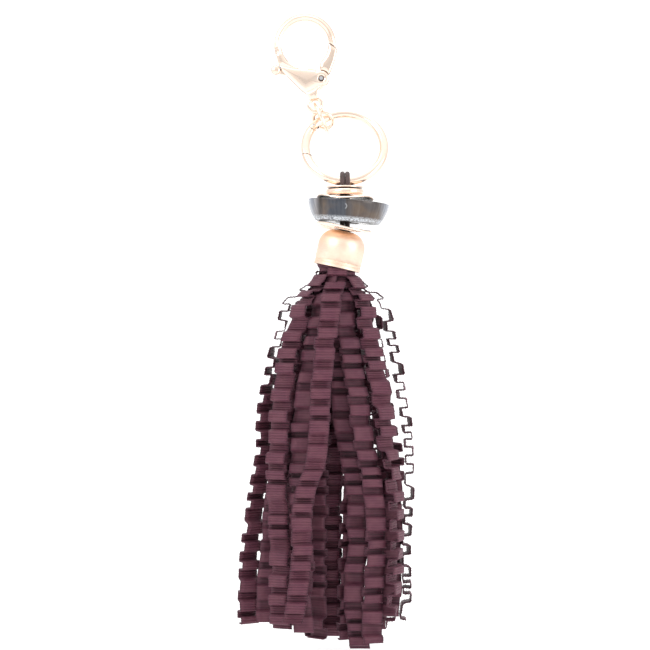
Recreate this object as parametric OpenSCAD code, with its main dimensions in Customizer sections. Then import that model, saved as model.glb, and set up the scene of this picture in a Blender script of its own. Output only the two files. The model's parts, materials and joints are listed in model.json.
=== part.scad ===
// Bag charm on a lobster clasp: two jump rings, a sprung gate ring, a doubled
// cord through a stack of washers and a stone disc, and a tassel of pleated
// ribbon under a bell cap. It hangs along -Z from the clasp's hook opening,
// whose centre is the origin. All sizes are in millimetres.

/* [Clasp] */
// Radius of the round opening inside the hook
hook_r = 8.6; // [7.6:0.1:9.6]
// Width of the hook arm in the plane of the clasp
hook_w = 2.8; // [2.4:0.1:3.2]
// Thickness of the hook arm across the clasp
hook_t = 3.6; // [3:0.1:4]
// Thickness of the body across the clasp
clasp_t = 4.8; // [4.4:0.1:6]
// Distance from the centre of the hook opening to the centre of the eye
eye_drop = 22.5; // [22:0.1:24]
// Radius of the hole in the eye
eye_hole_r = 1.7; // [1.6:0.05:1.9]
// Radius of the metal round the eye
eye_wire_r = 0.75; // [0.65:0.05:0.8]
// Lean of the clasp from upright
clasp_lean = 9.8; // [9:0.1:11]
// Thickness of the lever's tail inside the body
tail_t = 1.8; // [1.4:0.1:2.2]
// Diameter of the lever's pin
clasp_pin_d = 1.4; // [1.2:0.1:1.8]

/* [Jump rings] */
// Radius of the wire of both jump rings
link_wire_r = 0.65; // [0.5:0.05:0.65]
// Mean radius of the upper jump ring
link_upper_r = 6.08; // [6:0.02:6.2]
// Mean radius of the lower jump ring
link_lower_r = 3.72; // [3.7:0.02:3.9]

/* [Gate ring] */
// Mean radius of the gate ring
ring_r = 14.35; // [14.2:0.05:14.6]
// Radius of the gate ring's round bar
ring_bar_r = 1.65; // [1.3:0.05:1.7]
// Tilt of the ring's plane, its top away from the front
ring_tilt = 26; // [24:0.5:28]
// Angle round the ring of the gate's pin
gate_pin_angle = 142.5; // [141:0.5:146]
// Angle round the ring where the gate meets the latch
gate_latch_angle = 195.5; // [190:0.5:200]
// Diameter of the gate's pin
gate_pin_d = 0.9; // [0.8:0.1:1.2]
// Thickness of the gate's tongue in the ring's fork
tongue_t = 1.1; // [0.9:0.1:1.4]

/* [Stack] */
// Diameter of each of the two cords
cord_d = 1.7; // [1.4:0.1:1.8]
// Outer diameter of the washer under the ring
washer_d = 13.5; // [11:0.5:16]
// Outer diameter of the rounded spacer
rondelle_d = 14; // [12:0.5:17]
// Height of the rounded spacer
rondelle_h = 2.5; // [2:0.1:3]
// Outer diameter of the two wavy discs
wavy_d = 20.6; // [17:0.2:24]
// Height of the waves above and below the disc's plane
wave_h = 0.45; // [0.3:0.05:0.5]
// Diameter of the stone disc
stone_d = 29.4; // [24:0.2:35]
// Thickness of the stone disc
stone_h = 7.6; // [6.4:0.1:7.8]
// Thickness of the washers
washer_t = 0.55; // [0.4:0.05:0.6]

/* [Tassel] */
// Outer diameter of the bell cap at its mouth
cap_d = 17; // [17:0.1:20]
// Height of the bell cap
cap_h = 13.6; // [13:0.1:15]
// Wall of the bell cap
cap_wall = 0.7; // [0.5:0.05:0.75]
// Lean of the bell cap
cap_lean = 12.5; // [11:0.5:14]
// Width of each ribbon strip
ribbon_w = 7.3; // [6:0.1:7.6]
// Depth of the folds of each ribbon strip
pleat_h = 3; // [2.2:0.1:3.2]

/* [Hidden] */
$fn = 64;

rose = "#f0cdb4";
satin = "#d9a98a";
plum = "#5b2a4e";
smoke = "#8d8078";
dark_cord = "#4a3a3c";
steel = "#c8c8cc";

run_gap = 0.1;      // play between turning parts
side_gap = 0.1;     // play on each side of a tongue or tail in its slot

// Clasp, drawn upright in its own frame and then leaned
pivot = [3.7, -13.3];
pivot_bump_r = 2.9;
lever_notch = 2.3;           // where the body's cheeks stop, clear of the opening lever
pin_r = clasp_pin_d / 2;
tip_cut = [9.6, -1.7];       // where the hook's tip meets the lever
tip_gap = 0.12;
nub = [-12.1, -7.4];
nub_r = 1.7;
slot_t = tail_t + 2 * side_gap;
eye = [eye_drop * sin(clasp_lean), 0, -eye_drop * cos(clasp_lean)];

// Jump rings: centre and the direction that each one's plane faces
link_upper_c = [5.93, 3.63, -26.6];
link_upper_n = [0.902, 0, 0.431];
link_lower_c = [6.59, 3.99, -27.08];
link_lower_n = [0.268, 0.696, 0.667];

// Gate ring
ring_c = [14.5, -1.22, -37.6];
pin_at = [ring_r * cos(gate_pin_angle), ring_r * sin(gate_pin_angle)];
latch_at = [ring_r * cos(gate_latch_angle), ring_r * sin(gate_latch_angle)];
gate_reach = norm(latch_at - pin_at);
knuckle_r = ring_bar_r + 0.05;
fork_t = tongue_t + 2 * side_gap;

// The bar's centre at the foot of the ring, where the cords hang
foot = ring_c - ring_r * [0, sin(ring_tilt), cos(ring_tilt)];
cord_r = cord_d / 2;
loop_r = ring_bar_r + 0.15 + cord_r;
cord_x = cord_r + 0.05;      // half the distance between the two cords
leg_y = cord_r + 0.1;        // half the distance between a cord's two legs
bundle_r = norm([cord_x, leg_y]) + cord_r;

// Stack, from the top down: height of each centre and its lean
stack_x = foot[0];
stack_y = foot[1];
washer_z = foot[2] - ring_bar_r - 0.3 - washer_t / 2;
rondelle_z = washer_z - washer_t / 2 - 0.2 - rondelle_h / 2;
disc_t = 0.4;
upper_lean = 2.5;
stone_lean = 4.5;
lower_lean = 9;
small_lean = 11;
stone_x = stack_x + 1.4;
stone_lift = 0.35 + rondelle_d / 2 * sin(upper_lean);
upper_z = rondelle_z - rondelle_h / 2 - stone_lift - disc_t / 2 - 0.2;
upper_reach = wavy_d / 2;
stone_top_z = upper_z - disc_t / 2 - wave_h - upper_reach * sin(stone_lean - upper_lean) - 0.2;
lower_z = stone_top_z - stone_h - 0.2 - disc_t / 2 - wave_h - upper_reach * sin(lower_lean - stone_lean);
small_d = 8;
small_z = lower_z - disc_t / 2 - 0.45 - washer_t / 2;
cap_top_z = small_z - washer_t / 2 - 0.25;
hole_gap = 0.35;

// Cap and head
cap_axis = [sin(cap_lean), 0, cos(cap_lean)];
cap_top = [stack_x, stack_y, cap_top_z];
mouth = cap_top - cap_h * cap_axis;
cap_r = cap_d / 2;
shoulder_r = 5.8;
head_top = 9.2;              // above the mouth, along the cap
head_cut = mouth[2] + 2.3;   // the head's level underside, where the ribbons start
head_gap = 0.9;

// Ribbons: four rings of strips, from the outside in
ring_counts = [7, 6, 4, 3];
ring_first = [-90, -60, -90, -30];
root_radius = [6.3, 5, 3.8, 2.4];
root_width = [5.2, 4.8, 4.4, 3.4];
root_t = 0.6;
hang_radius = [15.4, 11.4, 6.4, 2.9];
root_x = mouth[0] + 0.15;
rim_drop = 2;                // strips hang straight to here, clear of the cap's rim
flare_drop = 14;             // and have spread out fully here
twist_from = 36;
twist_over = 46;
swing_gap = 0.2;             // under the head, for the strips that swing

// Sideways place of each strip at these drops below the cap's mouth, its last at its cut end
drops = [14, 30, 48, 66, 84, 103, 121];
strips = [
    // length, degrees that it twists on its way down, one place for each drop and one for the end
    [126, 0, [-2.4, -4.5, -6, -7, -12, -12.5, -14.4, -16]],
    [128, 50, [10.2, 13, 16.2, 18.6, 21.2, 21.2, 20, 19]],
    [128, 10, [17.4, 21, 24, 26.4, 26, 25, 25.4, 24]],
    [133, 0, [9, 12, 15, 18, 18, 16, 15, 15]],
    [131, 0, [-9, -12, -14, -15, -17, -18, -16, -15]],
    [129, -25, [-18.5, -22.5, -24.8, -26, -29, -31.2, -32, -32.2]],
    [129, 0, [-12.8, -17, -19.8, -21.2, -21.4, -20.4, -20.8, -19.8]],
    [134, 0, [2.4, 4.6, 7.6, 10.2, 13.6, 13.8, 12.6, 12.6]],
    [126, 0, [13.4, 15.6, 18.4, 20.6, 20.4, 19.4, 19.8, 19]],
    [132, 0, [5, 8, 9, 10, 8, 7, 6, 7]],
    [135, 0, [-5, -8, -9, -9, -10, -9, -8, -8]],
    [128, 0, [-13.2, -16.4, -18.8, -20, -22.4, -24.4, -25.4, -25.4]],
    [130, 0, [-5.8, -8.6, -11.2, -12.8, -13, -12, -12.4, -11.5]],
    [137, 0, [0, 0.5, 1.6, 4.2, 7.2, 7.2, 6, 8.6]],
    [133, 0, [9.4, 11, 12.6, 14, 14, 13, 13, 14]],
    [135, 0, [0, 0, -0.5, -1, -2, -2, -2, -1]],
    [130, 0, [-9.4, -11, -13, -14.5, -16, -17, -17.6, -17]],
    [134, 0, [3.6, 4.6, 5.4, 6, 5, 4.4, 4, 4]],
    [132, 0, [0, 0, -0.6, -1, -2, -2, -2.4, -2.4]],
    [134, 0, [-3.6, -4.6, -5.6, -6.4, -7, -7.4, -7.6, -7.6]]
];

// ---- small helpers ----

// Value on a smooth curve through v at the stations s
function catmull(a, b, c, d, t) =
    b + t * 0.5 * (c - a) + t * t * (a - 2.5 * b + 2 * c - 0.5 * d)
    + t * t * t * (1.5 * b - 0.5 * a - 1.5 * c + 0.5 * d);
function clamp_at(v, i) = v[max(0, min(len(v) - 1, i))];
function span_of(s, x, i = 0) = i >= len(s) - 2 || x <= s[i + 1] ? i : span_of(s, x, i + 1);
function along(s, v, x) =
    let (i = span_of(s, x), t = (x - s[i]) / (s[i + 1] - s[i]))
    catmull(clamp_at(v, i - 1), v[i], v[i + 1], clamp_at(v, i + 2), t);
function ease(t) = let (u = max(0, min(1, t))) u * u * (3 - 2 * u);
function unit(v) = v / norm(v);

// Triangles between rings of points, with flat ends
function tube_faces(rings, sides) = concat(
    [for (r = [0 : rings - 2], k = [0 : sides - 1])
        let (a = r * sides + k, b = r * sides + (k + 1) % sides)
        each [[a, a + sides, b + sides], [a, b + sides, b]]],
    [[for (k = [0 : sides - 1]) k]],
    [[for (k = [0 : sides - 1]) rings * sides - 1 - k]]
);

// A round tube along points, with its sides turned to the direction face
module tube(points, r, sides, face) {
    last = len(points) - 1;
    rings = [for (i = [0 : last])
        let (
            way = unit(points[min(last, i + 1)] - points[max(0, i - 1)]),
            a = unit(cross(way, face)),
            b = cross(way, a)
        )
        for (k = [0 : sides - 1])
            points[i] + r * (cos(360 * k / sides) * a + sin(360 * k / sides) * b)];
    polyhedron(points = rings, faces = tube_faces(last + 1, sides), convexity = 6);
}

// Turns what is drawn round Z to face the direction n
module facing(n) {
    rotate([0, acos(n[2] / norm(n)), atan2(n[1], n[0])]) children();
}

module ring_shape(mean_r, wire_r, turn = 360) {
    rotate_extrude(angle = turn) translate([mean_r, 0]) circle(r = wire_r);
}

// ---- clasp ----

// From the clasp's drawing plane to upright, leaned
module clasp_frame() {
    rotate([0, -clasp_lean, 0]) rotate([90, 0, 0]) children();
}

// Plate of the given thickness, centred on the clasp's plane
module plate(t) {
    translate([0, 0, -t / 2]) linear_extrude(t) children();
}

module hook_section() {
    flat = (hook_t - hook_w) / 2;
    translate([hook_r + hook_w / 2, 0]) {
        translate([0, flat]) circle(r = hook_w / 2);
        translate([0, -flat]) circle(r = hook_w / 2);
        translate([-hook_w / 2, -flat]) square([hook_w, 2 * flat]);
    }
}

// Everything on the lever's side of the slanted cut at the hook's tip
module below_tip(gap) {
    translate(tip_cut - [gap, gap]) rotate(-45) translate([-20, -40]) square([40, 40]);
}

// The opening through the body's plate, eased back behind the hook's own surface
module clasp_opening() {
    translate([0, -0.4]) circle(r = hook_r + 0.1);
}

module body_outline() {
    difference() {
        union() {
            polygon([[-hook_r - 2.6, -1.6], [-10.8, -5], [-10, -8.2], [-4.6, -15.7], [-2.4, -18.3],
                [-1.6, -20.4], [1.6, -20.4], [2.2, -17.6], [4.6, -16], [4.9, -12.9],
                [lever_notch, -11.6], [lever_notch, -6], [-5, -1.6]]);
            translate(pivot) circle(r = pivot_bump_r);
        }
        clasp_opening();
    }
}

// The room that the lever's tail sweeps inside the body
module tail_room() {
    translate(pivot) circle(r = pivot_bump_r - 0.6);
    translate([lever_notch, -13]) square([5, 4]);
    polygon([[7, -11.3], [-5.5, -8.1], [-13, -5], [-14.5, -12], [-8.3, -15],
        [-3.6, -17.9], [2.4, -15.8], [7, -15.8]]);
}

module clasp_body() {
    color(rose) clasp_frame() difference() {
        union() {
            difference() {
                rotate([0, 0, -30]) rotate_extrude(angle = 246) hook_section();
                translate([0, 0, -hook_t]) linear_extrude(2 * hook_t) intersection() {
                    below_tip(0);
                    translate([2, -16]) square([20, 20]);
                }
            }
            plate(clasp_t) body_outline();
            translate([0, -eye_drop]) ring_shape(eye_hole_r + eye_wire_r, eye_wire_r);
        }
        plate(slot_t) tail_room();
        translate([pivot[0], pivot[1], -clasp_t]) cylinder(d = clasp_pin_d, h = 2 * clasp_t);
    }
}

module lever_arm() {
    difference() {
        intersection() {
            polygon([[7.2, 2], [11.6, 0], [11.1, -4.3], [9.7, -7.6], [6.9, -12.4],
                [3.9, -12], [4, -8.8], [5, -6.4]]);
            below_tip(tip_gap);
        }
        circle(r = hook_r);
        translate(pivot) circle(r = pivot_bump_r + run_gap);
    }
}

module lever_tail() {
    difference() {
        union() {
            translate(pivot) circle(r = pivot_bump_r - 0.6 - run_gap);
            polygon([[3.4, -11.2], [5.4, -12.2], [7.4, -9.2], [5.6, -8.4]]);
            polygon([[3.2, -15], [4, -11.2], [-5.3, -9.4], [-11.6, -6.9], [-12.2, -8.8],
                [-5.2, -11.4]]);
        }
        translate([0, -0.4]) circle(r = hook_r + 0.1);
    }
}

module clasp_lever() {
    color(rose) clasp_frame() difference() {
        union() {
            plate(hook_t - 0.4) lever_arm();
            plate(tail_t) lever_tail();
            translate([nub[0], nub[1], -hook_t / 2]) cylinder(r = nub_r, h = hook_t);
        }
        translate([pivot[0], pivot[1], -hook_t]) cylinder(r = pin_r + run_gap / 2, h = 2 * hook_t);
        translate([pivot[0], pivot[1], tail_t / 2 - 0.45]) cylinder(r = 1.6, h = 1);
    }
}

module clasp_pin() {
    color(steel) clasp_frame() translate([pivot[0], pivot[1], -clasp_t / 2])
        cylinder(d = clasp_pin_d, h = clasp_t);
}

// A coil of wire about Z, standing on the plane z = 0
module coil(mean_r, wire_r, turns, pitch) {
    steps = 12;
    route = [for (k = [0 : turns * steps])
        [mean_r * cos(360 * k / steps), mean_r * sin(360 * k / steps), pitch * k / steps]];
    tube(route, wire_r, 6, [0, 0, 1]);
}

module clasp_spring() {
    color(steel) clasp_frame() translate([pivot[0], pivot[1], tail_t / 2 - 0.3])
        coil(1.15, 0.11, 1, 0.26);
}

// ---- jump rings ----

module jump_ring_upper() {
    color(rose) translate(link_upper_c) facing(link_upper_n) ring_shape(link_upper_r, link_wire_r);
}

module jump_ring_lower() {
    color(rose) translate(link_lower_c) facing(link_lower_n) ring_shape(link_lower_r, link_wire_r);
}

// ---- gate ring ----

// The ring is drawn flat, with its front towards +Z, and stood up here
module ring_frame() {
    translate(ring_c) rotate([90 - ring_tilt, 0, 0]) children();
}

module at_gate_pin(h, r) {
    translate([pin_at[0], pin_at[1], -h / 2]) cylinder(r = r, h = h);
}

module bar_arc(from, to) {
    rotate([0, 0, from]) ring_shape(ring_r, ring_bar_r, to - from);
}

// A block across the bar, beyond the radial plane at the given angle
module beyond(angle) {
    rotate([0, 0, angle]) translate([ring_r - 3, 0, -3]) cube([6, 6, 6]);
}

module gate_ring_body() {
    color(rose) ring_frame() difference() {
        bar_arc(gate_latch_angle - 4, 360 + gate_pin_angle + 9);
        intersection() {
            at_gate_pin(4 * ring_bar_r, gate_reach + run_gap);
            beyond(gate_latch_angle - 8);
        }
        difference() {
            beyond(gate_pin_angle);
            at_gate_pin(4 * ring_bar_r, knuckle_r);
        }
        at_gate_pin(fork_t, knuckle_r + 0.35);
        at_gate_pin(4 * ring_bar_r, gate_pin_d / 2);
        spring_line() cylinder(r = 0.6, h = 5.4);
    }
}

module gate_ring_gate() {
    color(rose) ring_frame() difference() {
        union() {
            difference() {
                intersection() {
                    bar_arc(gate_pin_angle + 2, gate_latch_angle + 4);
                    at_gate_pin(4 * ring_bar_r, gate_reach);
                }
                at_gate_pin(4 * ring_bar_r, knuckle_r + 0.2);
            }
            at_gate_pin(tongue_t, ring_bar_r - 0.1);
            rotate([0, 0, gate_pin_angle]) translate([ring_r - 1.1, 0, -tongue_t / 2])
                cube([2, 3.6, tongue_t]);
        }
        at_gate_pin(4 * ring_bar_r, gate_pin_d / 2 + run_gap / 2);
    }
}

// From the pin back along the bar, where the gate's spring lies in its bore
module spring_line() {
    translate([pin_at[0], pin_at[1], 0]) rotate([0, 0, gate_pin_angle - 95]) rotate([0, 90, 0])
        children();
}

module gate_pin() {
    color(steel) ring_frame() at_gate_pin(2 * ring_bar_r - 0.1, gate_pin_d / 2);
}

module gate_spring() {
    color(steel) ring_frame() spring_line() translate([0, 0, 2.25]) coil(0.4, 0.1, 7, 0.4);
}

// ---- cords and head ----

// One leg of a cord below the ring's bar: sideways drift, half spread and height
leg = [
    [mouth[0] + head_top * cap_axis[0] - stack_x, leg_y, mouth[2] + head_top * cap_axis[2]],
    [(mouth[0] + head_top * cap_axis[0] - stack_x) / 2, leg_y,
        (mouth[2] + head_top * cap_axis[2] + cap_top_z) / 2],
    [-0.05, leg_y, cap_top_z],
    [0, leg_y, cap_top_z + 2],
    [0, leg_y, (cap_top_z + rondelle_z) / 2],
    [0, leg_y, rondelle_z - 3],
    [0, leg_y + 0.15, rondelle_z - 1],
    [0, leg_y + 0.8, rondelle_z + 0.6],
    [0, loop_r - 0.25, foot[2] - 1.8]
];
function leg_point(i, side, x) =
    [stack_x + x + leg[i][0], stack_y + side * leg[i][1], leg[i][2] - (i < 2 ? x * tan(cap_lean) : 0)];
function cord_points(x) = concat(
    [for (i = [0 : len(leg) - 1]) leg_point(i, -1, x)],
    [for (a = [180 : -22.5 : 0]) foot + [x, loop_r * cos(a), loop_r * sin(a)]],
    [for (i = [len(leg) - 1 : -1 : 0]) leg_point(i, 1, x)]
);
// Points between the route's own, on a smooth curve
function eased_route(p, steps) = concat(
    [for (i = [0 : len(p) - 2], k = [0 : steps - 1])
        catmull(clamp_at(p, i - 1), p[i], p[i + 1], clamp_at(p, i + 2), k / steps)],
    [p[len(p) - 1]]
);

module cord(x) {
    color(dark_cord) tube(eased_route(cord_points(x), 2), cord_r, 8, [1, 0, 0]);
}

module cord_left() { cord(-cord_x); }
module cord_right() { cord(cord_x); }

module cap_frame() {
    translate(mouth) rotate([0, cap_lean, 0]) children();
}

module tassel_head() {
    color(plum) intersection() {
        cap_frame() translate([0, 0, -6]) cylinder(r = cap_r - cap_wall - head_gap, h = head_top + 6);
        translate([mouth[0] - 20, mouth[1] - 20, head_cut]) cube([40, 40, 20]);
    }
}

// ---- stack ----

module leaned(x, z, lean) {
    translate([x, stack_y, z]) rotate([0, lean, 0]) children();
}

module washer(d, hole_r) {
    difference() {
        cylinder(d = d, h = washer_t, center = true);
        cylinder(r = hole_r, h = washer_t + 1, center = true);
    }
}

module top_washer() {
    color(rose) leaned(stack_x, washer_z, 0) washer(washer_d, loop_r + cord_r + 0.1);
}

module rondelle() {
    round_r = rondelle_h / 2;
    hole_r = bundle_r + 0.85 + hole_gap;
    color(rose) leaned(stack_x, rondelle_z, 0) rotate_extrude() {
        translate([hole_r, -round_r]) square([rondelle_d / 2 - round_r - hole_r, rondelle_h]);
        translate([rondelle_d / 2 - round_r, 0]) circle(r = round_r);
    }
}

// A thin disc whose rim waves up and down
module wavy_disc(hole_r, lobes, turn) {
    sides = 72;
    radii = [hole_r, wavy_d / 4, wavy_d / 2 * 0.75, wavy_d / 2];
    function wave(r, a) = wave_h * pow(r / (wavy_d / 2), 2) * sin(lobes * a + turn);
    function loop_points(r, z) = [for (k = [0 : sides - 1])
        let (a = 360 * k / sides) [r * cos(a), r * sin(a), z + wave(r, a)]];
    rows = concat([for (r = radii) [r, disc_t / 2]], [for (i = [3 : -1 : 0]) [radii[i], -disc_t / 2]]);
    n = len(rows);
    polyhedron(
        points = [for (q = rows) each loop_points(q[0], q[1])],
        faces = [for (i = [0 : n - 1], k = [0 : sides - 1])
            [i * sides + k, ((i + 1) % n) * sides + k,
             ((i + 1) % n) * sides + (k + 1) % sides, i * sides + (k + 1) % sides]],
        convexity = 4);
}

module wavy_disc_upper() {
    color(rose) leaned(stack_x + 0.1, upper_z, upper_lean) wavy_disc(bundle_r + hole_gap + 0.1, 3, 200);
}

module stone_disc() {
    bowl_r = stone_d / 2 + 0.12;
    color(smoke) leaned(stone_x, stone_top_z, stone_lean) difference() {
        intersection() {
            translate([0, 0, -stone_h]) cylinder(d = stone_d, h = stone_h);
            translate([0, 0, 1.9]) sphere(r = norm([bowl_r, 1.9]), $fn = 96);
        }
        translate([0, 0, -stone_h - 1])
            cylinder(r = bundle_r + abs(stone_x - stack_x) + stone_h / 2 * sin(stone_lean) + hole_gap,
                h = stone_h + 2);
    }
}

module wavy_disc_lower() {
    color(rose) leaned(stack_x - 0.3, lower_z, lower_lean) wavy_disc(bundle_r + hole_gap + 0.3, 2, 20);
}

module small_washer() {
    color(rose) leaned(stack_x, small_z, small_lean) washer(small_d, bundle_r + hole_gap);
}

// Half of the cap's outline, with a rounded shoulder
module bell(r, h, round_r) {
    square([r, h - round_r]);
    square([r - round_r, h]);
    translate([r - round_r, h - round_r]) circle(r = round_r);
}

module bell_cap() {
    color(satin) cap_frame() rotate_extrude() difference() {
        intersection() {
            bell(cap_r, cap_h, shoulder_r);
            square([cap_r, cap_h]);
        }
        translate([0, -1]) bell(cap_r - cap_wall, cap_h - cap_wall + 1, shoulder_r - cap_wall);
        translate([-1, -1]) square([bundle_r + hole_gap + 1.2, cap_h + 2]);
        for (z = [1.1, 2])
            translate([cap_r + 0.12, z]) circle(r = 0.3);
    }
}

// ---- ribbons ----

function ring_of(i, k = 0) = i < ring_counts[k] ? [k, i] : ring_of(i - ring_counts[k], k + 1);
function strip_angle(i) = let (q = ring_of(i)) ring_first[q[0]] + 360 * q[1] / ring_counts[q[0]];
function strip_level(i) = ring_of(i)[0];
function swings(i) = strip_level(i) == 0;

// The hanging tassel is wider than it is deep, so its strips turn to face front and back
function stretch(d) = 1 + 2.5 * ease((d - rim_drop) / 50);
function stations(i) = concat(drops, [strips[i][0]]);
function strip_place(i, d) =
    let (
        k = strip_level(i), a = strip_angle(i), t = ease((d - rim_drop) / (flare_drop - rim_drop)),
        deep = (1 - t) * root_radius[k] + t * hang_radius[k],
        x0 = root_x + root_radius[k] * cos(a),
        x1 = mouth[0] + along(stations(i), strips[i][2], max(d, drops[0]))
    )
    [(1 - t) * x0 + t * x1, stack_y + deep * sin(a), mouth[2] - d];
function strip_turn(i, d) =
    let (a = strip_angle(i))
    atan2(cos(a), -stretch(d) * sin(a)) + strips[i][1] * ease((d - twist_from) / twist_over);

module ribbon(i) {
    length = strips[i][0];
    first = mouth[2] - head_cut + (swings(i) ? swing_gap : 0);
    level = strip_level(i);
    grow = function (d) ease((d - rim_drop - 2.5 * level) / (10 + 3 * level));
    stops = concat([first, rim_drop, 4, 6.5, 9, 11.5, 14], [for (k = [1 : 14]) 14 + (length - 14) * k / 14]);
    rings = [for (d = stops)
        let (
            p = strip_place(i, d), a = strip_turn(i, d), g = grow(d),
            w = ((1 - g) * root_width[level] + g * ribbon_w) / 2,
            t = ((1 - g) * root_t + g * pleat_h) / 2,
            u = [cos(a), sin(a), 0], v = [-sin(a), cos(a), 0]
        )
        each [p + w * u + t * v, p - w * u + t * v, p - w * u - t * v, p + w * u - t * v]];
    color(plum) polyhedron(points = rings, faces = tube_faces(len(stops), 4), convexity = 4);
}

clasp_body();
clasp_lever();
clasp_pin();
clasp_spring();
jump_ring_upper();
jump_ring_lower();
gate_ring_body();
gate_ring_gate();
gate_pin();
gate_spring();
cord_left();
cord_right();
tassel_head();
top_washer();
rondelle();
wavy_disc_upper();
stone_disc();
wavy_disc_lower();
small_washer();
bell_cap();
ribbon(0);  // ribbon_01
ribbon(1);  // ribbon_02
ribbon(2);  // ribbon_03
ribbon(3);  // ribbon_04
ribbon(4);  // ribbon_05
ribbon(5);  // ribbon_06
ribbon(6);  // ribbon_07
ribbon(7);  // ribbon_08
ribbon(8);  // ribbon_09
ribbon(9);  // ribbon_10
ribbon(10);  // ribbon_11
ribbon(11);  // ribbon_12
ribbon(12);  // ribbon_13
ribbon(13);  // ribbon_14
ribbon(14);  // ribbon_15
ribbon(15);  // ribbon_16
ribbon(16);  // ribbon_17
ribbon(17);  // ribbon_18
ribbon(18);  // ribbon_19
ribbon(19);  // ribbon_20
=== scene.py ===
import json
import math

import bmesh
import bpy
import numpy as np
from bpy.props import (
    FloatProperty,
    FloatVectorProperty,
    IntProperty,
    PointerProperty,
)
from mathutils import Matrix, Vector, kdtree, noise

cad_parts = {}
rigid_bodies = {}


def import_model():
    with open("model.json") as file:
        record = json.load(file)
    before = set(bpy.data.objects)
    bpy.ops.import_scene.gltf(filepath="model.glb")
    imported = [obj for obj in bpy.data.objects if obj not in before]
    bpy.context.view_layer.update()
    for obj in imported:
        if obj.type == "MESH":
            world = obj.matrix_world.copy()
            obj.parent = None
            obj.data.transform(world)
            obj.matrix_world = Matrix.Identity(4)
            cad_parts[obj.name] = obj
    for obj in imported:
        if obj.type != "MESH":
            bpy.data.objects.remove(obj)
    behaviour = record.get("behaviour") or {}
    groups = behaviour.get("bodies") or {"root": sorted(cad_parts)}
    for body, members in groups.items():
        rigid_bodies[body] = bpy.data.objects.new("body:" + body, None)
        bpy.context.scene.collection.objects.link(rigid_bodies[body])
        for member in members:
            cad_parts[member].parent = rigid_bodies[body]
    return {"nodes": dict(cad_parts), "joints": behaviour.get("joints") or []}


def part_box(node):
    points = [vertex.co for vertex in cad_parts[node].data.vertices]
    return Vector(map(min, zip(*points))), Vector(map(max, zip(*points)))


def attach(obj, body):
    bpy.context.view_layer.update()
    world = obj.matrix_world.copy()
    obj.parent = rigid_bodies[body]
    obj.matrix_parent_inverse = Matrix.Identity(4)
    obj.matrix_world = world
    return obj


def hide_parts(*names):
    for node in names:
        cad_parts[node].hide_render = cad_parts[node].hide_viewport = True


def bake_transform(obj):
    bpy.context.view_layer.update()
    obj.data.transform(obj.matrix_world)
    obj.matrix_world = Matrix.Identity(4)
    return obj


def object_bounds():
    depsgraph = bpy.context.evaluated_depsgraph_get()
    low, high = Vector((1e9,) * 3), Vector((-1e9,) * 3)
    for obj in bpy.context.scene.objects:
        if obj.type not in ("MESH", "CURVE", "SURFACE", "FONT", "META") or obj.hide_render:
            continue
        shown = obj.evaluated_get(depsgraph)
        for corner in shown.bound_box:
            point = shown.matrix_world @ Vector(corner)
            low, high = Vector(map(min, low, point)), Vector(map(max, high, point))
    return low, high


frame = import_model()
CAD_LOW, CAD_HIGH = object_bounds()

bl_info = {
    "name": "Ribbon Tassel Charm",
    "version": (1, 0, 0),
    "blender": (4, 5, 0),
    "location": "View3D > Sidebar > Charm",
    "description": "Builds a ribbon tassel key charm around its frame",
    "category": "Add Mesh",
}

MM = 0.001
FINISHES = {}
RIBBONS = ["ribbon_%02d" % i for i in range(1, 21)]
SWINGING = RIBBONS[:7]
# Strips, counted from 0, that turn edge-on or face-on to the front: how far down in mm, how much
EDGE_ON = {2: ((0, 6, 140), (0, 1, 0.9)), 5: ((0, 5, 30, 48), (0, 1, 1, 0))}
FACE_ON = {8: ((0, 60, 90), (0, 0, 1)), 11: ((0, 30, 62), (0, 0.2, 1)),
           16: ((0, 72, 96), (0, 0, 0.9))}
# The cap's lean about Y, the middle of its mouth and the height of its top, and how far the bound
# head reaches up from the mouth, in mm
CAP_LEAN = math.radians(12.5)
CAP_FOOT = (11.56, -7.51, -81.95)
CAP_TOP_Z = -68.67
HEAD_TOP = 9.2
LINK_WIRE_R = 0.65 * MM
WAVY_DISC_R = 10.3 * MM
# The cord's strands are cut this deep, and the round they are cut from is this much thicker
STRAND_DEPTH = 0.13
CORD_SWELL = 1.07


# ---------------------------------------------------------------- settings

class CHARM_PG_metal(bpy.types.PropertyGroup):
    """Finishes of the metal pieces."""

    polished: FloatVectorProperty(
        name="Polished colour", description="Colour of the polished rose gold",
        subtype="COLOR", size=4, min=0, max=1, default=(0.97, 0.80, 0.675, 1))
    polished_deep: FloatVectorProperty(
        name="Worn colour", description="Deeper colour where the plating is thinner",
        subtype="COLOR", size=4, min=0, max=1, default=(0.94, 0.66, 0.50, 1))
    satin: FloatVectorProperty(
        name="Satin colour", description="Colour of the satin bell cap",
        subtype="COLOR", size=4, min=0, max=1, default=(0.96, 0.80, 0.67, 1))
    satin_deep: FloatVectorProperty(
        name="Satin deep colour", description="Deeper colour in the satin's grain",
        subtype="COLOR", size=4, min=0, max=1, default=(0.88, 0.63, 0.47, 1))
    cast_voxel: FloatProperty(
        name="Casting detail", description="Size of the smallest detail of a cast piece",
        subtype="DISTANCE", unit="LENGTH", min=0.0001, max=0.001, default=0.00019)


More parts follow.
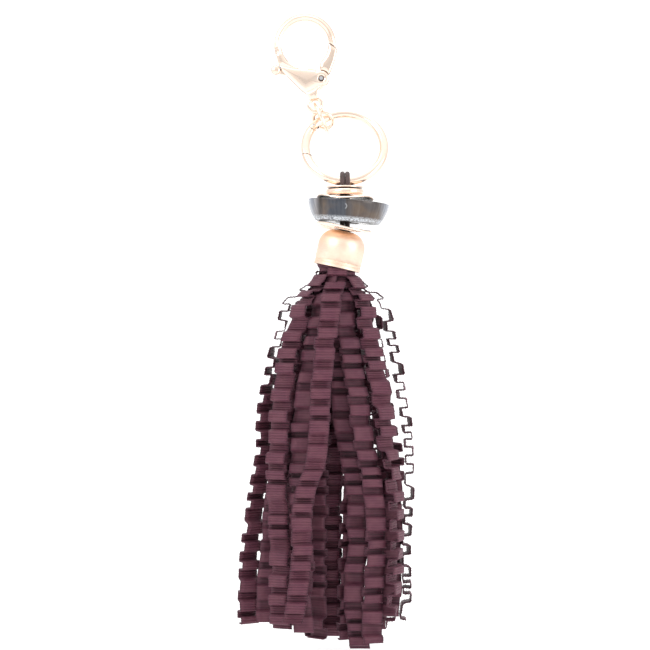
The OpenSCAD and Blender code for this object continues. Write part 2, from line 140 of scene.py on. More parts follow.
class CHARM_PG_ribbon(bpy.types.PropertyGroup):
    """Sizes and colours of the pleated strips."""

    pitch: FloatProperty(
        name="Pleat pitch", description="Length of strip taken by one fold out and in",
        subtype="DISTANCE", unit="LENGTH", min=0.003, max=0.015, default=0.0070)
    fold_depth: FloatProperty(
        name="Fold depth", description="Depth of the folds as a share of the strip's room",
        subtype="FACTOR", min=0.2, max=1.5, default=1.22)
    unevenness: FloatProperty(
        name="Unevenness", description="How unevenly the folds have settled",
        subtype="FACTOR", min=0, max=2, default=1.0)
    steep: FloatProperty(
        name="Pleat steepness", description="How square the folds are",
        subtype="FACTOR", min=0, max=1.2, default=0.86)
    rib_pitch: FloatProperty(
        name="Rib pitch", description="Distance between the ribs of the grosgrain",
        subtype="DISTANCE", unit="LENGTH", min=0.0005, max=0.002, default=0.00095)
    rib_height: FloatProperty(
        name="Rib height", description="Height of the ribs of the grosgrain",
        subtype="DISTANCE", unit="LENGTH", min=0, max=0.0003, default=0.00020)
    thickness: FloatProperty(
        name="Ribbon thickness", description="Thickness of the ribbon itself",
        subtype="DISTANCE", unit="LENGTH", min=0.0001, max=0.001, default=0.00034)
    step: FloatProperty(
        name="Step", description="Distance between the mesh rows along a strip",
        subtype="DISTANCE", unit="LENGTH", min=0.0001, max=0.002, default=0.00024)
    colour: FloatVectorProperty(
        name="Ribbon colour", description="Colour of the plum ribbon",
        subtype="COLOR", size=4, min=0, max=1, default=(0.148, 0.036, 0.064, 1))
    shade: FloatVectorProperty(
        name="Ribbon shade", description="Darker plum between the ribs",
        subtype="COLOR", size=4, min=0, max=1, default=(0.052, 0.012, 0.026, 1))


class CHARM_PG_cord(bpy.types.PropertyGroup):
    """Sizes and colours of the doubled cord."""

    diameter: FloatProperty(
        name="Cord diameter", description="Diameter of each cord",
        subtype="DISTANCE", unit="LENGTH", min=0.001, max=0.003, default=0.0017)
    strands: IntProperty(
        name="Strands", description="Number of twisted strands", min=3, max=10, default=6)
    lay: FloatProperty(
        name="Lay", description="Length of one full twist",
        subtype="DISTANCE", unit="LENGTH", min=0.003, max=0.03, default=0.0085)
    colour: FloatVectorProperty(
        name="Cord colour", description="Colour of the cord",
        subtype="COLOR", size=4, min=0, max=1, default=(0.085, 0.052, 0.050, 1))


class CHARM_PG_stone(bpy.types.PropertyGroup):
    """Colours of the stone disc."""

    smoke: FloatVectorProperty(
        name="Smoke", description="Brown-grey smoke of the stone",
        subtype="COLOR", size=4, min=0, max=1, default=(0.108, 0.070, 0.045, 1))
    blue: FloatVectorProperty(
        name="Blue grey", description="Blue-grey clouds of the stone",
        subtype="COLOR", size=4, min=0, max=1, default=(0.026, 0.032, 0.048, 1))
    frost: FloatVectorProperty(
        name="Frost", description="Frosted, chipped lower rim",
        subtype="COLOR", size=4, min=0, max=1, default=(0.66, 0.69, 0.73, 1))


class CHARM_PG_stage(bpy.types.PropertyGroup):
    """Floor, lights and camera."""

    floor: FloatVectorProperty(
        name="Floor colour", description="Colour of the plain floor",
        subtype="COLOR", size=4, min=0, max=1, default=(0.96, 0.96, 0.96, 1))
    key: FloatProperty(
        name="Key light", description="Strength of the key light",
        unit="POWER", min=0, max=100, default=2.6)
    lens: FloatProperty(
        name="Lens", description="Focal length of the camera in millimetres",
        unit="CAMERA", min=20, max=300, default=100)


# ---------------------------------------------------------------- node helpers

def add(tree, kind, at=(0, 0), **values):
    """Adds a node, sets its properties, and its inputs where the name is an input's."""
    made = tree.nodes.new(kind)
    made.location = at
    for name, value in values.items():
        socket = name.replace("_", " ")
        if hasattr(made, name) and name not in ("location",):
            setattr(made, name, value)
        elif socket in made.inputs:
            made.inputs[socket].default_value = value
        else:
            raise RuntimeError(f"{kind} has no {name}")
    return made


def join(tree, pairs):
    for start, end in pairs:
        tree.links.new(start, end)


def maths(tree, operation, a, b=None, c=None):
    """A Math node fed with numbers or sockets; returns its output."""
    made = tree.nodes.new("ShaderNodeMath")
    made.operation = operation
    for i, value in enumerate((a, b, c)):
        if value is None:
            continue
        if isinstance(value, (int, float)):
            made.inputs[i].default_value = value
        else:
            tree.links.new(value, made.inputs[i])
    return made.outputs[0]


def vector_maths(tree, operation, a, b=None, scale=None):
    made = tree.nodes.new("ShaderNodeVectorMath")
    made.operation = operation
    for i, value in enumerate((a, b)):
        if value is None:
            continue
        if isinstance(value, (tuple, list)):
            made.inputs[i].default_value = value
        else:
            tree.links.new(value, made.inputs[i])
    if scale is not None:
        if isinstance(scale, (int, float)):
            made.inputs["Scale"].default_value = scale
        else:
            tree.links.new(scale, made.inputs["Scale"])
    return made.outputs["Value" if operation in ("DOT_PRODUCT", "LENGTH") else "Vector"]


def mixed(tree, factor, a, b, blend="MIX"):
    """A colour mix fed with colours or sockets; returns its output."""
    made = tree.nodes.new("ShaderNodeMix")
    made.data_type = "RGBA"
    made.blend_type = blend
    for i, value in ((0, factor), (6, a), (7, b)):
        if isinstance(value, (int, float)):
            made.inputs[i].default_value = value
        elif isinstance(value, bpy.types.NodeSocket):
            tree.links.new(value, made.inputs[i])
        else:
            made.inputs[i].default_value = tuple(value)
    return made.outputs[2]


def ranged(tree, value, a, b, c, d):
    made = tree.nodes.new("ShaderNodeMapRange")
    for i, x in enumerate((a, b, c, d)):
        made.inputs[i + 1].default_value = x
    tree.links.new(value, made.inputs[0])
    return made.outputs[0]


def new_group(name, inputs, outputs):
    """A shader node group with named inputs and outputs."""
    tree = bpy.data.node_groups.new(name, "ShaderNodeTree")
    for label, kind, default in inputs:
        s = tree.interface.new_socket(label, in_out="INPUT", socket_type=kind)
        if default is not None:
            s.default_value = default
    for label, kind in outputs:
        tree.interface.new_socket(label, in_out="OUTPUT", socket_type=kind)
    return tree, tree.nodes.new("NodeGroupInput"), tree.nodes.new("NodeGroupOutput")


def grain_group():
    """Fine handling marks: a height, and slow patches from 0 to 1."""
    if "Handling Marks" in bpy.data.node_groups:
        return bpy.data.node_groups["Handling Marks"]
    tree, start, end = new_group(
        "Handling Marks",
        [("Vector", "NodeSocketVector", None), ("Patch Scale", "NodeSocketFloat", 160.0),
         ("Mark Scale", "NodeSocketFloat", 1500.0)],
        [("Height", "NodeSocketFloat"), ("Patches", "NodeSocketFloat")])
    slow = add(tree, "ShaderNodeTexNoise", Detail=3.0, Roughness=0.55)
    fine = add(tree, "ShaderNodeTexNoise", Detail=5.0, Roughness=0.7)
    scratch = add(tree, "ShaderNodeTexNoise", Detail=2.0, Roughness=0.5)
    turned = add(tree, "ShaderNodeMapping", Rotation=(0.4, 0.9, 0.3), Scale=(1.0, 0.08, 1.0))
    join(tree, [
        (start.outputs["Vector"], slow.inputs["Vector"]),
        (start.outputs["Patch Scale"], slow.inputs["Scale"]),
        (start.outputs["Vector"], fine.inputs["Vector"]),
        (start.outputs["Mark Scale"], fine.inputs["Scale"]),
        (start.outputs["Vector"], turned.inputs["Vector"]),
        (turned.outputs["Vector"], scratch.inputs["Vector"]),
        (start.outputs["Mark Scale"], scratch.inputs["Scale"]),
    ])
    lines = maths(tree, "POWER", scratch.outputs["Fac"], 3.0)
    height = maths(tree, "ADD", maths(tree, "MULTIPLY", fine.outputs["Fac"], 0.35), lines)
    patches = ranged(tree, slow.outputs["Fac"], 0.35, 0.68, 0.0, 1.0)
    join(tree, [(height, end.inputs["Height"]), (patches, end.inputs["Patches"])])
    return tree


def wear_group():
    """Where edges stand proud, from 0 to 1, broken up by noise."""
    if "Edge Wear" in bpy.data.node_groups:
        return bpy.data.node_groups["Edge Wear"]
    tree, start, end = new_group(
        "Edge Wear",
        [("Vector", "NodeSocketVector", None), ("Low", "NodeSocketFloat", 0.5),
         ("High", "NodeSocketFloat", 0.6)],
        [("Mask", "NodeSocketFloat")])
    shape = add(tree, "ShaderNodeNewGeometry")
    breaking = add(tree, "ShaderNodeTexNoise", Scale=700.0, Detail=4.0)
    tree.links.new(start.outputs["Vector"], breaking.inputs["Vector"])
    edge = add(tree, "ShaderNodeMapRange")
    join(tree, [
        (shape.outputs["Pointiness"], edge.inputs["Value"]),
        (start.outputs["Low"], edge.inputs["From Min"]),
        (start.outputs["High"], edge.inputs["From Max"]),
    ])
    broken = ranged(tree, breaking.outputs["Fac"], 0.35, 0.65, 0.25, 1.0)
    tree.links.new(maths(tree, "MULTIPLY", edge.outputs[0], broken), end.inputs["Mask"])
    return tree


def crevice_shade_group():
    """Painted shade where surfaces close in on each other, from 0 in the open to 1 in a seam."""
    if "Crevice Painted Shade" in bpy.data.node_groups:
        return bpy.data.node_groups["Crevice Painted Shade"]
    tree, start, end = new_group(
        "Crevice Painted Shade",
        [("Vector", "NodeSocketVector", None), ("Reach", "NodeSocketFloat", 0.0008),
         ("Amount", "NodeSocketFloat", 0.9)],
        [("Mask", "NodeSocketFloat")])
    closed = tree.nodes.new("ShaderNodeAmbientOcclusion")
    closed.samples = 6
    spots = add(tree, "ShaderNodeTexNoise", Scale=900.0, Detail=3.0)
    join(tree, [(start.outputs["Reach"], closed.inputs["Distance"]),
                (start.outputs["Vector"], spots.inputs["Vector"])])
    mask = ranged(tree, closed.outputs["AO"], 0.25, 0.78, 1.0, 0.0)
    mask = maths(tree, "MULTIPLY", mask, ranged(tree, spots.outputs["Fac"], 0.3, 0.6, 0.75, 1.0))
    tree.links.new(maths(tree, "MULTIPLY", mask, start.outputs["Amount"]), end.inputs["Mask"])
    return tree


def weave_group():
    """Threads running two ways over a map in metres: a height and a gap mask."""
    if "Thread Weave" in bpy.data.node_groups:
        return bpy.data.node_groups["Thread Weave"]
    tree, start, end = new_group(
        "Thread Weave",
        [("Vector", "NodeSocketVector", None), ("Warp Count", "NodeSocketFloat", 5200.0),
         ("Weft Count", "NodeSocketFloat", 3000.0)],
        [("Height", "NodeSocketFloat"), ("Fibre", "NodeSocketFloat")])
    parts = add(tree, "ShaderNodeSeparateXYZ")
    tree.links.new(start.outputs["Vector"], parts.inputs[0])
    turn = 2 * math.pi
    across = maths(tree, "SINE", maths(tree, "MULTIPLY", maths(
        tree, "MULTIPLY", parts.outputs["Y"], start.outputs["Warp Count"]), turn))
    along = maths(tree, "SINE", maths(tree, "MULTIPLY", maths(
        tree, "MULTIPLY", parts.outputs["X"], start.outputs["Weft Count"]), turn))
    both = maths(tree, "MULTIPLY", across, along)
    fibre = add(tree, "ShaderNodeTexNoise", Scale=2600.0, Detail=4.0, Roughness=0.6)
    tree.links.new(start.outputs["Vector"], fibre.inputs["Vector"])
    height = maths(tree, "ADD", maths(tree, "MULTIPLY", both, 0.35),
                   maths(tree, "MULTIPLY", across, 0.3))
    height = maths(tree, "ADD", height, maths(tree, "MULTIPLY", fibre.outputs["Fac"], 0.5))
    join(tree, [(height, end.inputs["Height"]), (fibre.outputs["Fac"], end.inputs["Fibre"])])
    return tree


def blank_material(name):
    if name in FINISHES:
        return FINISHES[name], None, None
    material = FINISHES[name] = bpy.data.materials.new("charm_" + name)
    material.use_nodes = True
    tree = material.node_tree
    shader = tree.nodes["Principled BSDF"]
    return material, tree, shader


def group_node(tree, group, **values):
    made = tree.nodes.new("ShaderNodeGroup")
    made.node_tree = group
    for name, value in values.items():
        made.inputs[name.replace("_", " ")].default_value = value
    return made


def metal(name, colour, deep, low, high, bump, patch=160.0, marks=1500.0, painted_disc_shade=False):
    """Plated metal with handling marks, slow patches, worn edges, painted shade in its crevices
    and, if asked, painted shade on a disc's marked face.
    """
    material, tree, shader = blank_material(name)
    if tree is None:
        return material
    place = add(tree, "ShaderNodeTexCoord")
    grain = group_node(tree, grain_group(), Patch_Scale=patch, Mark_Scale=marks)
    wear = group_node(tree, wear_group(), Low=0.505, High=0.56)
    join(tree, [(place.outputs["Object"], grain.inputs["Vector"]),
                (place.outputs["Object"], wear.inputs["Vector"])])
    tint = mixed(tree, maths(tree, "MULTIPLY", grain.outputs["Patches"], 0.35), colour, deep)
    pale = [min(1.0, 0.25 + 0.78 * c) for c in colour[:3]] + [1]
    tint = mixed(tree, maths(tree, "MULTIPLY", wear.outputs["Mask"], 0.55), tint, pale)
    # Painted shade: crevices and seams between parts darken towards dark brown.
    painted_crevice_shade = group_node(tree, crevice_shade_group(), Reach=0.0009, Amount=0.92)
    tree.links.new(place.outputs["Object"], painted_crevice_shade.inputs["Vector"])
    tint = mixed(tree, painted_crevice_shade.outputs["Mask"], tint, (0.10, 0.060, 0.045, 1))
    # Painted shade: the face that a wavy disc marks as "under", where the stacked discs shade each
    # other, darkens towards dark brown.
    if painted_disc_shade:
        under = add(tree, "ShaderNodeAttribute", attribute_name="under")
        tint = mixed(tree, maths(tree, "MULTIPLY", under.outputs["Fac"], 0.93), tint,
                     (0.07, 0.050, 0.040, 1))
    rough = ranged(tree, grain.outputs["Patches"], 0.0, 1.0, low, high)
    rough = maths(tree, "ADD", rough, maths(tree, "MULTIPLY", wear.outputs["Mask"], 0.08))
    relief = add(tree, "ShaderNodeBump", Strength=bump, Distance=0.00003)
    join(tree, [(tint, shader.inputs["Base Color"]), (rough, shader.inputs["Roughness"]),
                (grain.outputs["Height"], relief.inputs["Height"]),
                (relief.outputs["Normal"], shader.inputs["Normal"])])
    shader.inputs["Metallic"].default_value = 1.0
    return material


def polished_metal():
    s = bpy.context.scene.charm_metal
    return metal("polished_rose_gold", s.polished, s.polished_deep, 0.10, 0.20, 0.12)


# Rose gold for the wavy discs, with painted shade on each disc's marked face.
def disc_metal():
    s = bpy.context.scene.charm_metal
    return metal("disc_rose_gold_painted_shade", s.polished, s.polished_deep, 0.14, 0.26, 0.2, painted_disc_shade=True)


def steel_metal():
    return metal("spring_steel", (0.62, 0.62, 0.64, 1), (0.42, 0.41, 0.42, 1), 0.22, 0.38, 0.2)


def satin_metal(centre, axis):
    """Satin metal brushed round the cap's own axis, with a painted orange-tan reflection on its
    shoulder.
    """
    s = bpy.context.scene.charm_metal
    material, tree, shader = blank_material("satin_rose_gold")
    if tree is None:
        return material
    lean = math.atan2(axis[0], axis[2])
    place = add(tree, "ShaderNodeTexCoord")
    moved = add(tree, "ShaderNodeVectorMath", operation="SUBTRACT")
    moved.inputs[1].default_value = centre
    stood = add(tree, "ShaderNodeVectorRotate", rotation_type="Y_AXIS", Angle=lean)
    parts = add(tree, "ShaderNodeSeparateXYZ")
    join(tree, [(place.outputs["Object"], moved.inputs[0]),
                (moved.outputs["Vector"], stood.inputs["Vector"]),
                (stood.outputs["Vector"], parts.inputs[0])])
    radius = maths(tree, "SQRT", maths(tree, "ADD",
                   maths(tree, "MULTIPLY", parts.outputs["X"], parts.outputs["X"]),
                   maths(tree, "MULTIPLY", parts.outputs["Y"], parts.outputs["Y"])))
    around = maths(tree, "ARCTAN2", parts.outputs["Y"], parts.outputs["X"])
    lines = add(tree, "ShaderNodeCombineXYZ")
    join(tree, [(maths(tree, "MULTIPLY", maths(tree, "COSINE", around), 0.0011), lines.inputs[0]),
                (maths(tree, "MULTIPLY", maths(tree, "SINE", around), 0.0011), lines.inputs[1]),
                (maths(tree, "ADD", parts.outputs["Z"], radius), lines.inputs[2])])
    brushed = add(tree, "ShaderNodeTexNoise", Scale=5200.0, Detail=6.0, Roughness=0.75)
    tree.links.new(lines.outputs[0], brushed.inputs["Vector"])
    grain = group_node(tree, grain_group(), Patch_Scale=220.0, Mark_Scale=900.0)
    wear = group_node(tree, wear_group(), Low=0.505, High=0.57)
    join(tree, [(place.outputs["Object"], grain.inputs["Vector"]),
                (place.outputs["Object"], wear.inputs["Vector"])])
    tint = mixed(tree, ranged(tree, brushed.outputs["Fac"], 0.3, 0.7, 0.1, 0.75),
                 s.satin, s.satin_deep)
    tint = mixed(tree, maths(tree, "MULTIPLY", grain.outputs["Patches"], 0.3), tint, s.satin_deep)
    tint = mixed(tree, maths(tree, "MULTIPLY", wear.outputs["Mask"], 0.6), tint, s.polished)
    # Painted reflection: towards its top, the cap's shoulder turns orange-tan, as if mirroring the
    # dark discs and stone above.
    high = ranged(tree, parts.outputs["Z"], 0.0085, 0.0130, 0.0, 0.85)
    tint = mixed(tree, high, tint, (0.96, 0.70, 0.48, 1))
    rough = maths(tree, "ADD", ranged(tree, brushed.outputs["Fac"], 0.3, 0.7, 0.34, 0.47),
                  maths(tree, "MULTIPLY", grain.outputs["Patches"], 0.06))
    relief = add(tree, "ShaderNodeBump", Strength=0.35, Distance=0.00003)
    join(tree, [(tint, shader.inputs["Base Color"]), (rough, shader.inputs["Roughness"]),
                (brushed.outputs["Fac"], relief.inputs["Height"]),
                (relief.outputs["Normal"], shader.inputs["Normal"])])
    shader.inputs["Metallic"].default_value = 1.0
    return material


def ribbon_cloth():
    """Plum grosgrain: ribs and threads follow the strip's own map; painted shade darkens the
    grooves between ribs and the folds' recesses.
    """
    s = bpy.context.scene.charm_ribbon
    material, tree, shader = blank_material("plum_grosgrain")
    if tree is None:
        return material
    strip = add(tree, "ShaderNodeUVMap", uv_map="Strip")
    parts = add(tree, "ShaderNodeSeparateXYZ")
    tree.links.new(strip.outputs[0], parts.inputs[0])
    place = add(tree, "ShaderNodeTexCoord")
    ribs = maths(tree, "COSINE", maths(tree, "MULTIPLY", parts.outputs["X"],
                                       2 * math.pi / (s.rib_pitch * 10)))
    ribs = ranged(tree, ribs, -1.0, 1.0, 0.0, 1.0)
    scaled = vector_maths(tree, "SCALE", strip.outputs[0], scale=0.1)
    weave = group_node(tree, weave_group(), Warp_Count=3600.0, Weft_Count=2105.0)
    tree.links.new(scaled, weave.inputs["Vector"])
    slow = add(tree, "ShaderNodeTexNoise", Scale=240.0, Detail=3.0)
    tree.links.new(place.outputs["Object"], slow.inputs["Vector"])
    # Painted shade between the ribs, mixed with the fibres' own uneven tone.
    light = maths(tree, "ADD", maths(tree, "MULTIPLY", ribs, 0.50),
                  maths(tree, "MULTIPLY", weave.outputs["Fibre"], 0.5))
    light = maths(tree, "ADD", light, 0.04)
    tint = mixed(tree, light, s.shade, s.colour)
    warm = [min(1, c * k) for c, k in zip(s.colour[:3], (1.12, 1.50, 1.15))] + [1]
    tint = mixed(tree, ranged(tree, slow.outputs["Fac"], 0.38, 0.64, 0.0, 0.45), tint, warm)
    # Painted shade: the folds' recesses darken to near black, most in the grooves between the ribs.
    painted_crevice_shade = group_node(tree, crevice_shade_group(), Reach=0.0026, Amount=0.72)
    tree.links.new(place.outputs["Object"], painted_crevice_shade.inputs["Vector"])
    lines = maths(tree, "ADD", maths(tree, "MULTIPLY", maths(
        tree, "SUBTRACT", 1.0, ribs), 1.15), 0.45)
    deep = maths(tree, "MINIMUM", maths(tree, "MULTIPLY", painted_crevice_shade.outputs["Mask"], lines), 0.93)
    tint = mixed(tree, deep, tint, (0.010, 0.003, 0.007, 1))
    selvage = ranged(tree, maths(tree, "ABSOLUTE", parts.outputs["Y"]), 0.0325, 0.0345, 0.0, 0.60)
    tint = mixed(tree, selvage, tint, s.shade)
    rough = ranged(tree, weave.outputs["Fibre"], 0.3, 0.7, 0.46, 0.62)
    height = maths(tree, "ADD", maths(tree, "MULTIPLY", ribs, 0.9),
                   maths(tree, "MULTIPLY", weave.outputs["Height"], 0.35))
    relief = add(tree, "ShaderNodeBump", Strength=0.8, Distance=0.00012)
    join(tree, [(tint, shader.inputs["Base Color"]), (rough, shader.inputs["Roughness"]),
                (height, relief.inputs["Height"]),
                (relief.outputs["Normal"], shader.inputs["Normal"])])
    shader.inputs["Sheen Weight"].default_value = 0.15
    shader.inputs["Sheen Roughness"].default_value = 0.45
    shader.inputs["Sheen Tint"].default_value = (0.80, 0.50, 0.60, 1)
    shader.inputs["Specular IOR Level"].default_value = 0.4
    return material


def cord_cloth():
    s = bpy.context.scene.charm_cord
    material, tree, shader = blank_material("dark_cord")
    if tree is None:
        return material
    place = add(tree, "ShaderNodeTexCoord")
    fibre = add(tree, "ShaderNodeTexNoise", Scale=2800.0, Detail=5.0, Roughness=0.7)
    strand = add(tree, "ShaderNodeMapping", Scale=(1.0, 1.0, 0.25))
    slow = add(tree, "ShaderNodeTexNoise", Scale=300.0, Detail=2.0)
    wear = group_node(tree, wear_group(), Low=0.49, High=0.62)
    join(tree, [(place.outputs["Object"], strand.inputs["Vector"]),
                (strand.outputs["Vector"], fibre.inputs["Vector"]),
                (place.outputs["Object"], slow.inputs["Vector"]),
                (place.outputs["Object"], wear.inputs["Vector"])])
    dark = [c * 0.35 for c in s.colour[:3]] + [1]
    pale = [min(1, c * 2.2) for c in s.colour[:3]] + [1]
    tint = mixed(tree, ranged(tree, fibre.outputs["Fac"], 0.32, 0.66, 0.0, 1.0), dark, s.colour)
    tint = mixed(tree, maths(tree, "MULTIPLY", wear.outputs["Mask"], 0.5), tint, pale)
    tint = mixed(tree, ranged(tree, slow.outputs["Fac"], 0.4, 0.7, 0.0, 0.3), tint, pale)
    relief = add(tree, "ShaderNodeBump", Strength=0.6, Distance=0.00006)
    join(tree, [(tint, shader.inputs["Base Color"]),
                (ranged(tree, fibre.outputs["Fac"], 0.3, 0.7, 0.55, 0.8),
                 shader.inputs["Roughness"]),
                (fibre.outputs["Fac"], relief.inputs["Height"]),
                (relief.outputs["Normal"], shader.inputs["Normal"])])
    shader.inputs["Sheen Weight"].default_value = 0.25
    return material


def stone_material(centre):
    """Smoky stone: clouds, upright striations, a frosted lower rim and a painted crescent
    highlight.
    """
    s = bpy.context.scene.charm_stone
    material, tree, shader = blank_material("smoky_stone")
    if tree is None:
        return material
    place = add(tree, "ShaderNodeTexCoord")
    moved = add(tree, "ShaderNodeVectorMath", operation="SUBTRACT")
    moved.inputs[1].default_value = centre
    parts = add(tree, "ShaderNodeSeparateXYZ")
    join(tree, [(place.outputs["Object"], moved.inputs[0]),
                (moved.outputs["Vector"], parts.inputs[0])])
    around = maths(tree, "ARCTAN2", parts.outputs["Y"], parts.outputs["X"])
    streak = add(tree, "ShaderNodeCombineXYZ")
    join(tree, [(maths(tree, "MULTIPLY", maths(tree, "COSINE", around), 0.012), streak.inputs[0]),
                (maths(tree, "MULTIPLY", maths(tree, "SINE", around), 0.012), streak.inputs[1]),
                (maths(tree, "MULTIPLY", parts.outputs["Z"], 0.10), streak.inputs[2])])
    lines = add(tree, "ShaderNodeTexNoise", Scale=850.0, Detail=3.0, Roughness=0.6)
    clouds = add(tree, "ShaderNodeTexNoise", Scale=95.0, Detail=4.0, Roughness=0.55, Distortion=0.6)
    pits = add(tree, "ShaderNodeTexNoise", Scale=1700.0, Detail=4.0, Roughness=0.7)
    join(tree, [(streak.outputs[0], lines.inputs["Vector"]),
                (place.outputs["Object"], clouds.inputs["Vector"]),
                (place.outputs["Object"], pits.inputs["Vector"])])
    side = maths(tree, "MULTIPLY", ranged(tree, parts.outputs["X"], -0.0092, -0.0070, 0.0, 1.0),
                 ranged(tree, parts.outputs["X"], -0.0018, -0.0009, 1.0, 0.0))
    mix = maths(tree, "ADD", maths(tree, "MULTIPLY", side, 0.8),
                ranged(tree, clouds.outputs["Fac"], 0.40, 0.62, -0.15, 0.55))
    mix = maths(tree, "MINIMUM", maths(tree, "MAXIMUM", mix, 0.0), 1.0)
    tint = mixed(tree, mix, s.smoke, s.blue)
    streaks = maths(tree, "ADD", ranged(tree, maths(tree, "ABSOLUTE", maths(
        tree, "ADD", parts.outputs["X"], 0.0102)), 0.0002, 0.0012, 0.85, 0.0),
        ranged(tree, maths(tree, "ABSOLUTE", maths(
            tree, "ADD", parts.outputs["X"], 0.0008)), 0.0001, 0.0005, 0.75, 0.0))
    tint = mixed(tree, streaks, tint, (0.020, 0.012, 0.009, 1))
    # Painted highlight: a pale crescent on the front of the stone near its middle.
    highlight_across = maths(tree, "ADD", parts.outputs["X"], 0.0018)
    highlight_up = maths(tree, "ADD", parts.outputs["Z"], -0.0012)
    arc = maths(tree, "SQRT", maths(tree, "ADD", maths(tree, "MULTIPLY", highlight_across, highlight_across),
                                    maths(tree, "MULTIPLY", highlight_up, highlight_up)))
    arc = ranged(tree, maths(tree, "ABSOLUTE", maths(tree, "SUBTRACT", arc, 0.0009)),
                 0.0, 0.0003, 0.55, 0.0)
    arc = maths(tree, "MULTIPLY", arc, ranged(tree, highlight_across, 0.0002, 0.0006, 0.0, 1.0))
    arc = maths(tree, "MULTIPLY", arc, ranged(tree, parts.outputs["Y"], -0.001, 0.0, 1.0, 0.0))
    tint = mixed(tree, arc, tint, (0.62, 0.64, 0.68, 1))
    ends = ranged(tree, maths(tree, "ABSOLUTE", parts.outputs["X"]), 0.0105, 0.0147, 0.0, 1.0)
    tint = mixed(tree, maths(tree, "MULTIPLY", ends, 0.80), tint, (0.36, 0.42, 0.52, 1))
    marks = ranged(tree, lines.outputs["Fac"], 0.42, 0.70, 0.0, 1.0)
    marks = maths(tree, "MULTIPLY", marks, ranged(tree, ends, 0.0, 1.0, 0.05, 0.60))
    tint = mixed(tree, marks, tint, (0.70, 0.70, 0.72, 1))
    rim = add(tree, "ShaderNodeAttribute", attribute_name="frost")
    broken = maths(tree, "MULTIPLY", rim.outputs["Fac"],
                   ranged(tree, pits.outputs["Fac"], 0.40, 0.56, 0.15, 1.0))
    tint = mixed(tree, broken, tint, s.frost)
    rough = maths(tree, "ADD", 0.12, maths(tree, "MULTIPLY", broken, 0.55))
    rough = maths(tree, "ADD", rough, ranged(tree, clouds.outputs["Fac"], 0.4, 0.7, 0.0, 0.10))
    height = maths(tree, "ADD", maths(tree, "MULTIPLY", lines.outputs["Fac"], 0.25),
                   maths(tree, "MULTIPLY", pits.outputs["Fac"],
                         maths(tree, "ADD", 0.08, maths(
                             tree, "MULTIPLY", rim.outputs["Fac"], 1.2))))
    relief = add(tree, "ShaderNodeBump", Strength=0.5, Distance=0.00012)
    join(tree, [(tint, shader.inputs["Base Color"]), (rough, shader.inputs["Roughness"]),
                (height, relief.inputs["Height"]),
                (relief.outputs["Normal"], shader.inputs["Normal"])])
    shader.inputs["Subsurface Weight"].default_value = 0.08
    shader.inputs["Subsurface Radius"].default_value = (0.004, 0.004, 0.005)
    shader.inputs["Subsurface Scale"].default_value = 0.5
    shader.inputs["Coat Weight"].default_value = 0.18
    shader.inputs["Coat Roughness"].default_value = 0.06
    return material


# ---------------------------------------------------------------- mesh helpers

def link(obj):
    bpy.context.scene.collection.objects.link(obj)
    return obj


def made_object(name, mesh, material):
    obj = link(bpy.data.objects.new(name, mesh))
    obj.data.materials.clear()
    obj.data.materials.append(material)
    for p in obj.data.polygons:
        p.use_smooth = True
    return obj


def joined_points(node):
    """The node's mesh with its loose triangles joined."""
    bm = bmesh.new()
    bm.from_mesh(frame["nodes"][node].data)
    bmesh.ops.remove_doubles(bm, verts=bm.verts, dist=2e-6)
    mesh = bpy.data.meshes.new(node + "_joined")
    bm.to_mesh(mesh)
    bm.free()
    return mesh


def evaluated_mesh(obj, name):
    """The plain mesh of an object with its modifiers, and the object removed."""
    bpy.context.view_layer.update()
    graph = bpy.context.evaluated_depsgraph_get()
    mesh = bpy.data.meshes.new_from_object(obj.evaluated_get(graph), depsgraph=graph)
    mesh.name = name
    old = obj.data
    bpy.data.objects.remove(obj)
    bpy.data.meshes.remove(old)
    return mesh


def crowned(mesh, reach, edge):
    """Crowns the flat front and back of a casting, falling away towards its outline."""
    co = np.array([v.co for v in mesh.vertices], float)
    normal = np.array([v.normal for v in mesh.vertices], float)
    middle = (co[:, 1].min() + co[:, 1].max()) / 2
    deep = co[:, 1] - middle
    rim = np.flatnonzero((np.abs(normal[:, 1]) < 0.55) & (np.abs(deep) < 1.9 * MM))
    tree = kdtree.KDTree(len(rim))
    for k in rim:
        tree.insert((co[k, 0], 0.0, co[k, 2]), int(k))
    tree.balance()
    for k in np.flatnonzero(np.abs(deep) > 1.1 * MM):
        gap = tree.find((co[k, 0], 0.0, co[k, 2]))[2]
        rise = math.sqrt(max(0.0, 1 - (1 - min(gap / reach, 1)) ** 2))
        share = min(1.0, (abs(deep[k]) - 1.1 * MM) / (0.35 * MM))
        co[k, 1] = middle + deep[k] * (1 - share * (1 - edge) * (1 - rise))
    mesh.vertices.foreach_set("co", co.astype(np.float32).ravel())
    mesh.update()


def cast_piece(name, node, body, material, voxel, rounds, crown=None):
    """A cast piece: the part's own shape, its edges rounded as polishing leaves them."""
    rough = link(bpy.data.objects.new(name + "_rough", joined_points(node)))
    cells = rough.modifiers.new("cells", "REMESH")
    cells.mode = "VOXEL"
    cells.voxel_size = voxel
    polish = rough.modifiers.new("polish", "SMOOTH")
    polish.factor = 0.5
    polish.iterations = rounds
    mesh = evaluated_mesh(rough, name)
    if len(mesh.polygons) < 100:
        raise RuntimeError(name + " came out empty")
    if crown:
        crowned(mesh, *crown)
    piece = made_object(name, mesh, material)
    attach(piece, body)
    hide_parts(node)
    return piece


def turned_piece(name, node, body, material, angle=32.0):
    """A turned or drawn piece: the part's own surface, smooth but for its true edges."""
    piece = made_object(name, joined_points(node), material)
    piece.data.name = name
    piece.data.set_sharp_from_angle(angle=math.radians(angle))
    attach(piece, body)
    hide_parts(node)
    return piece


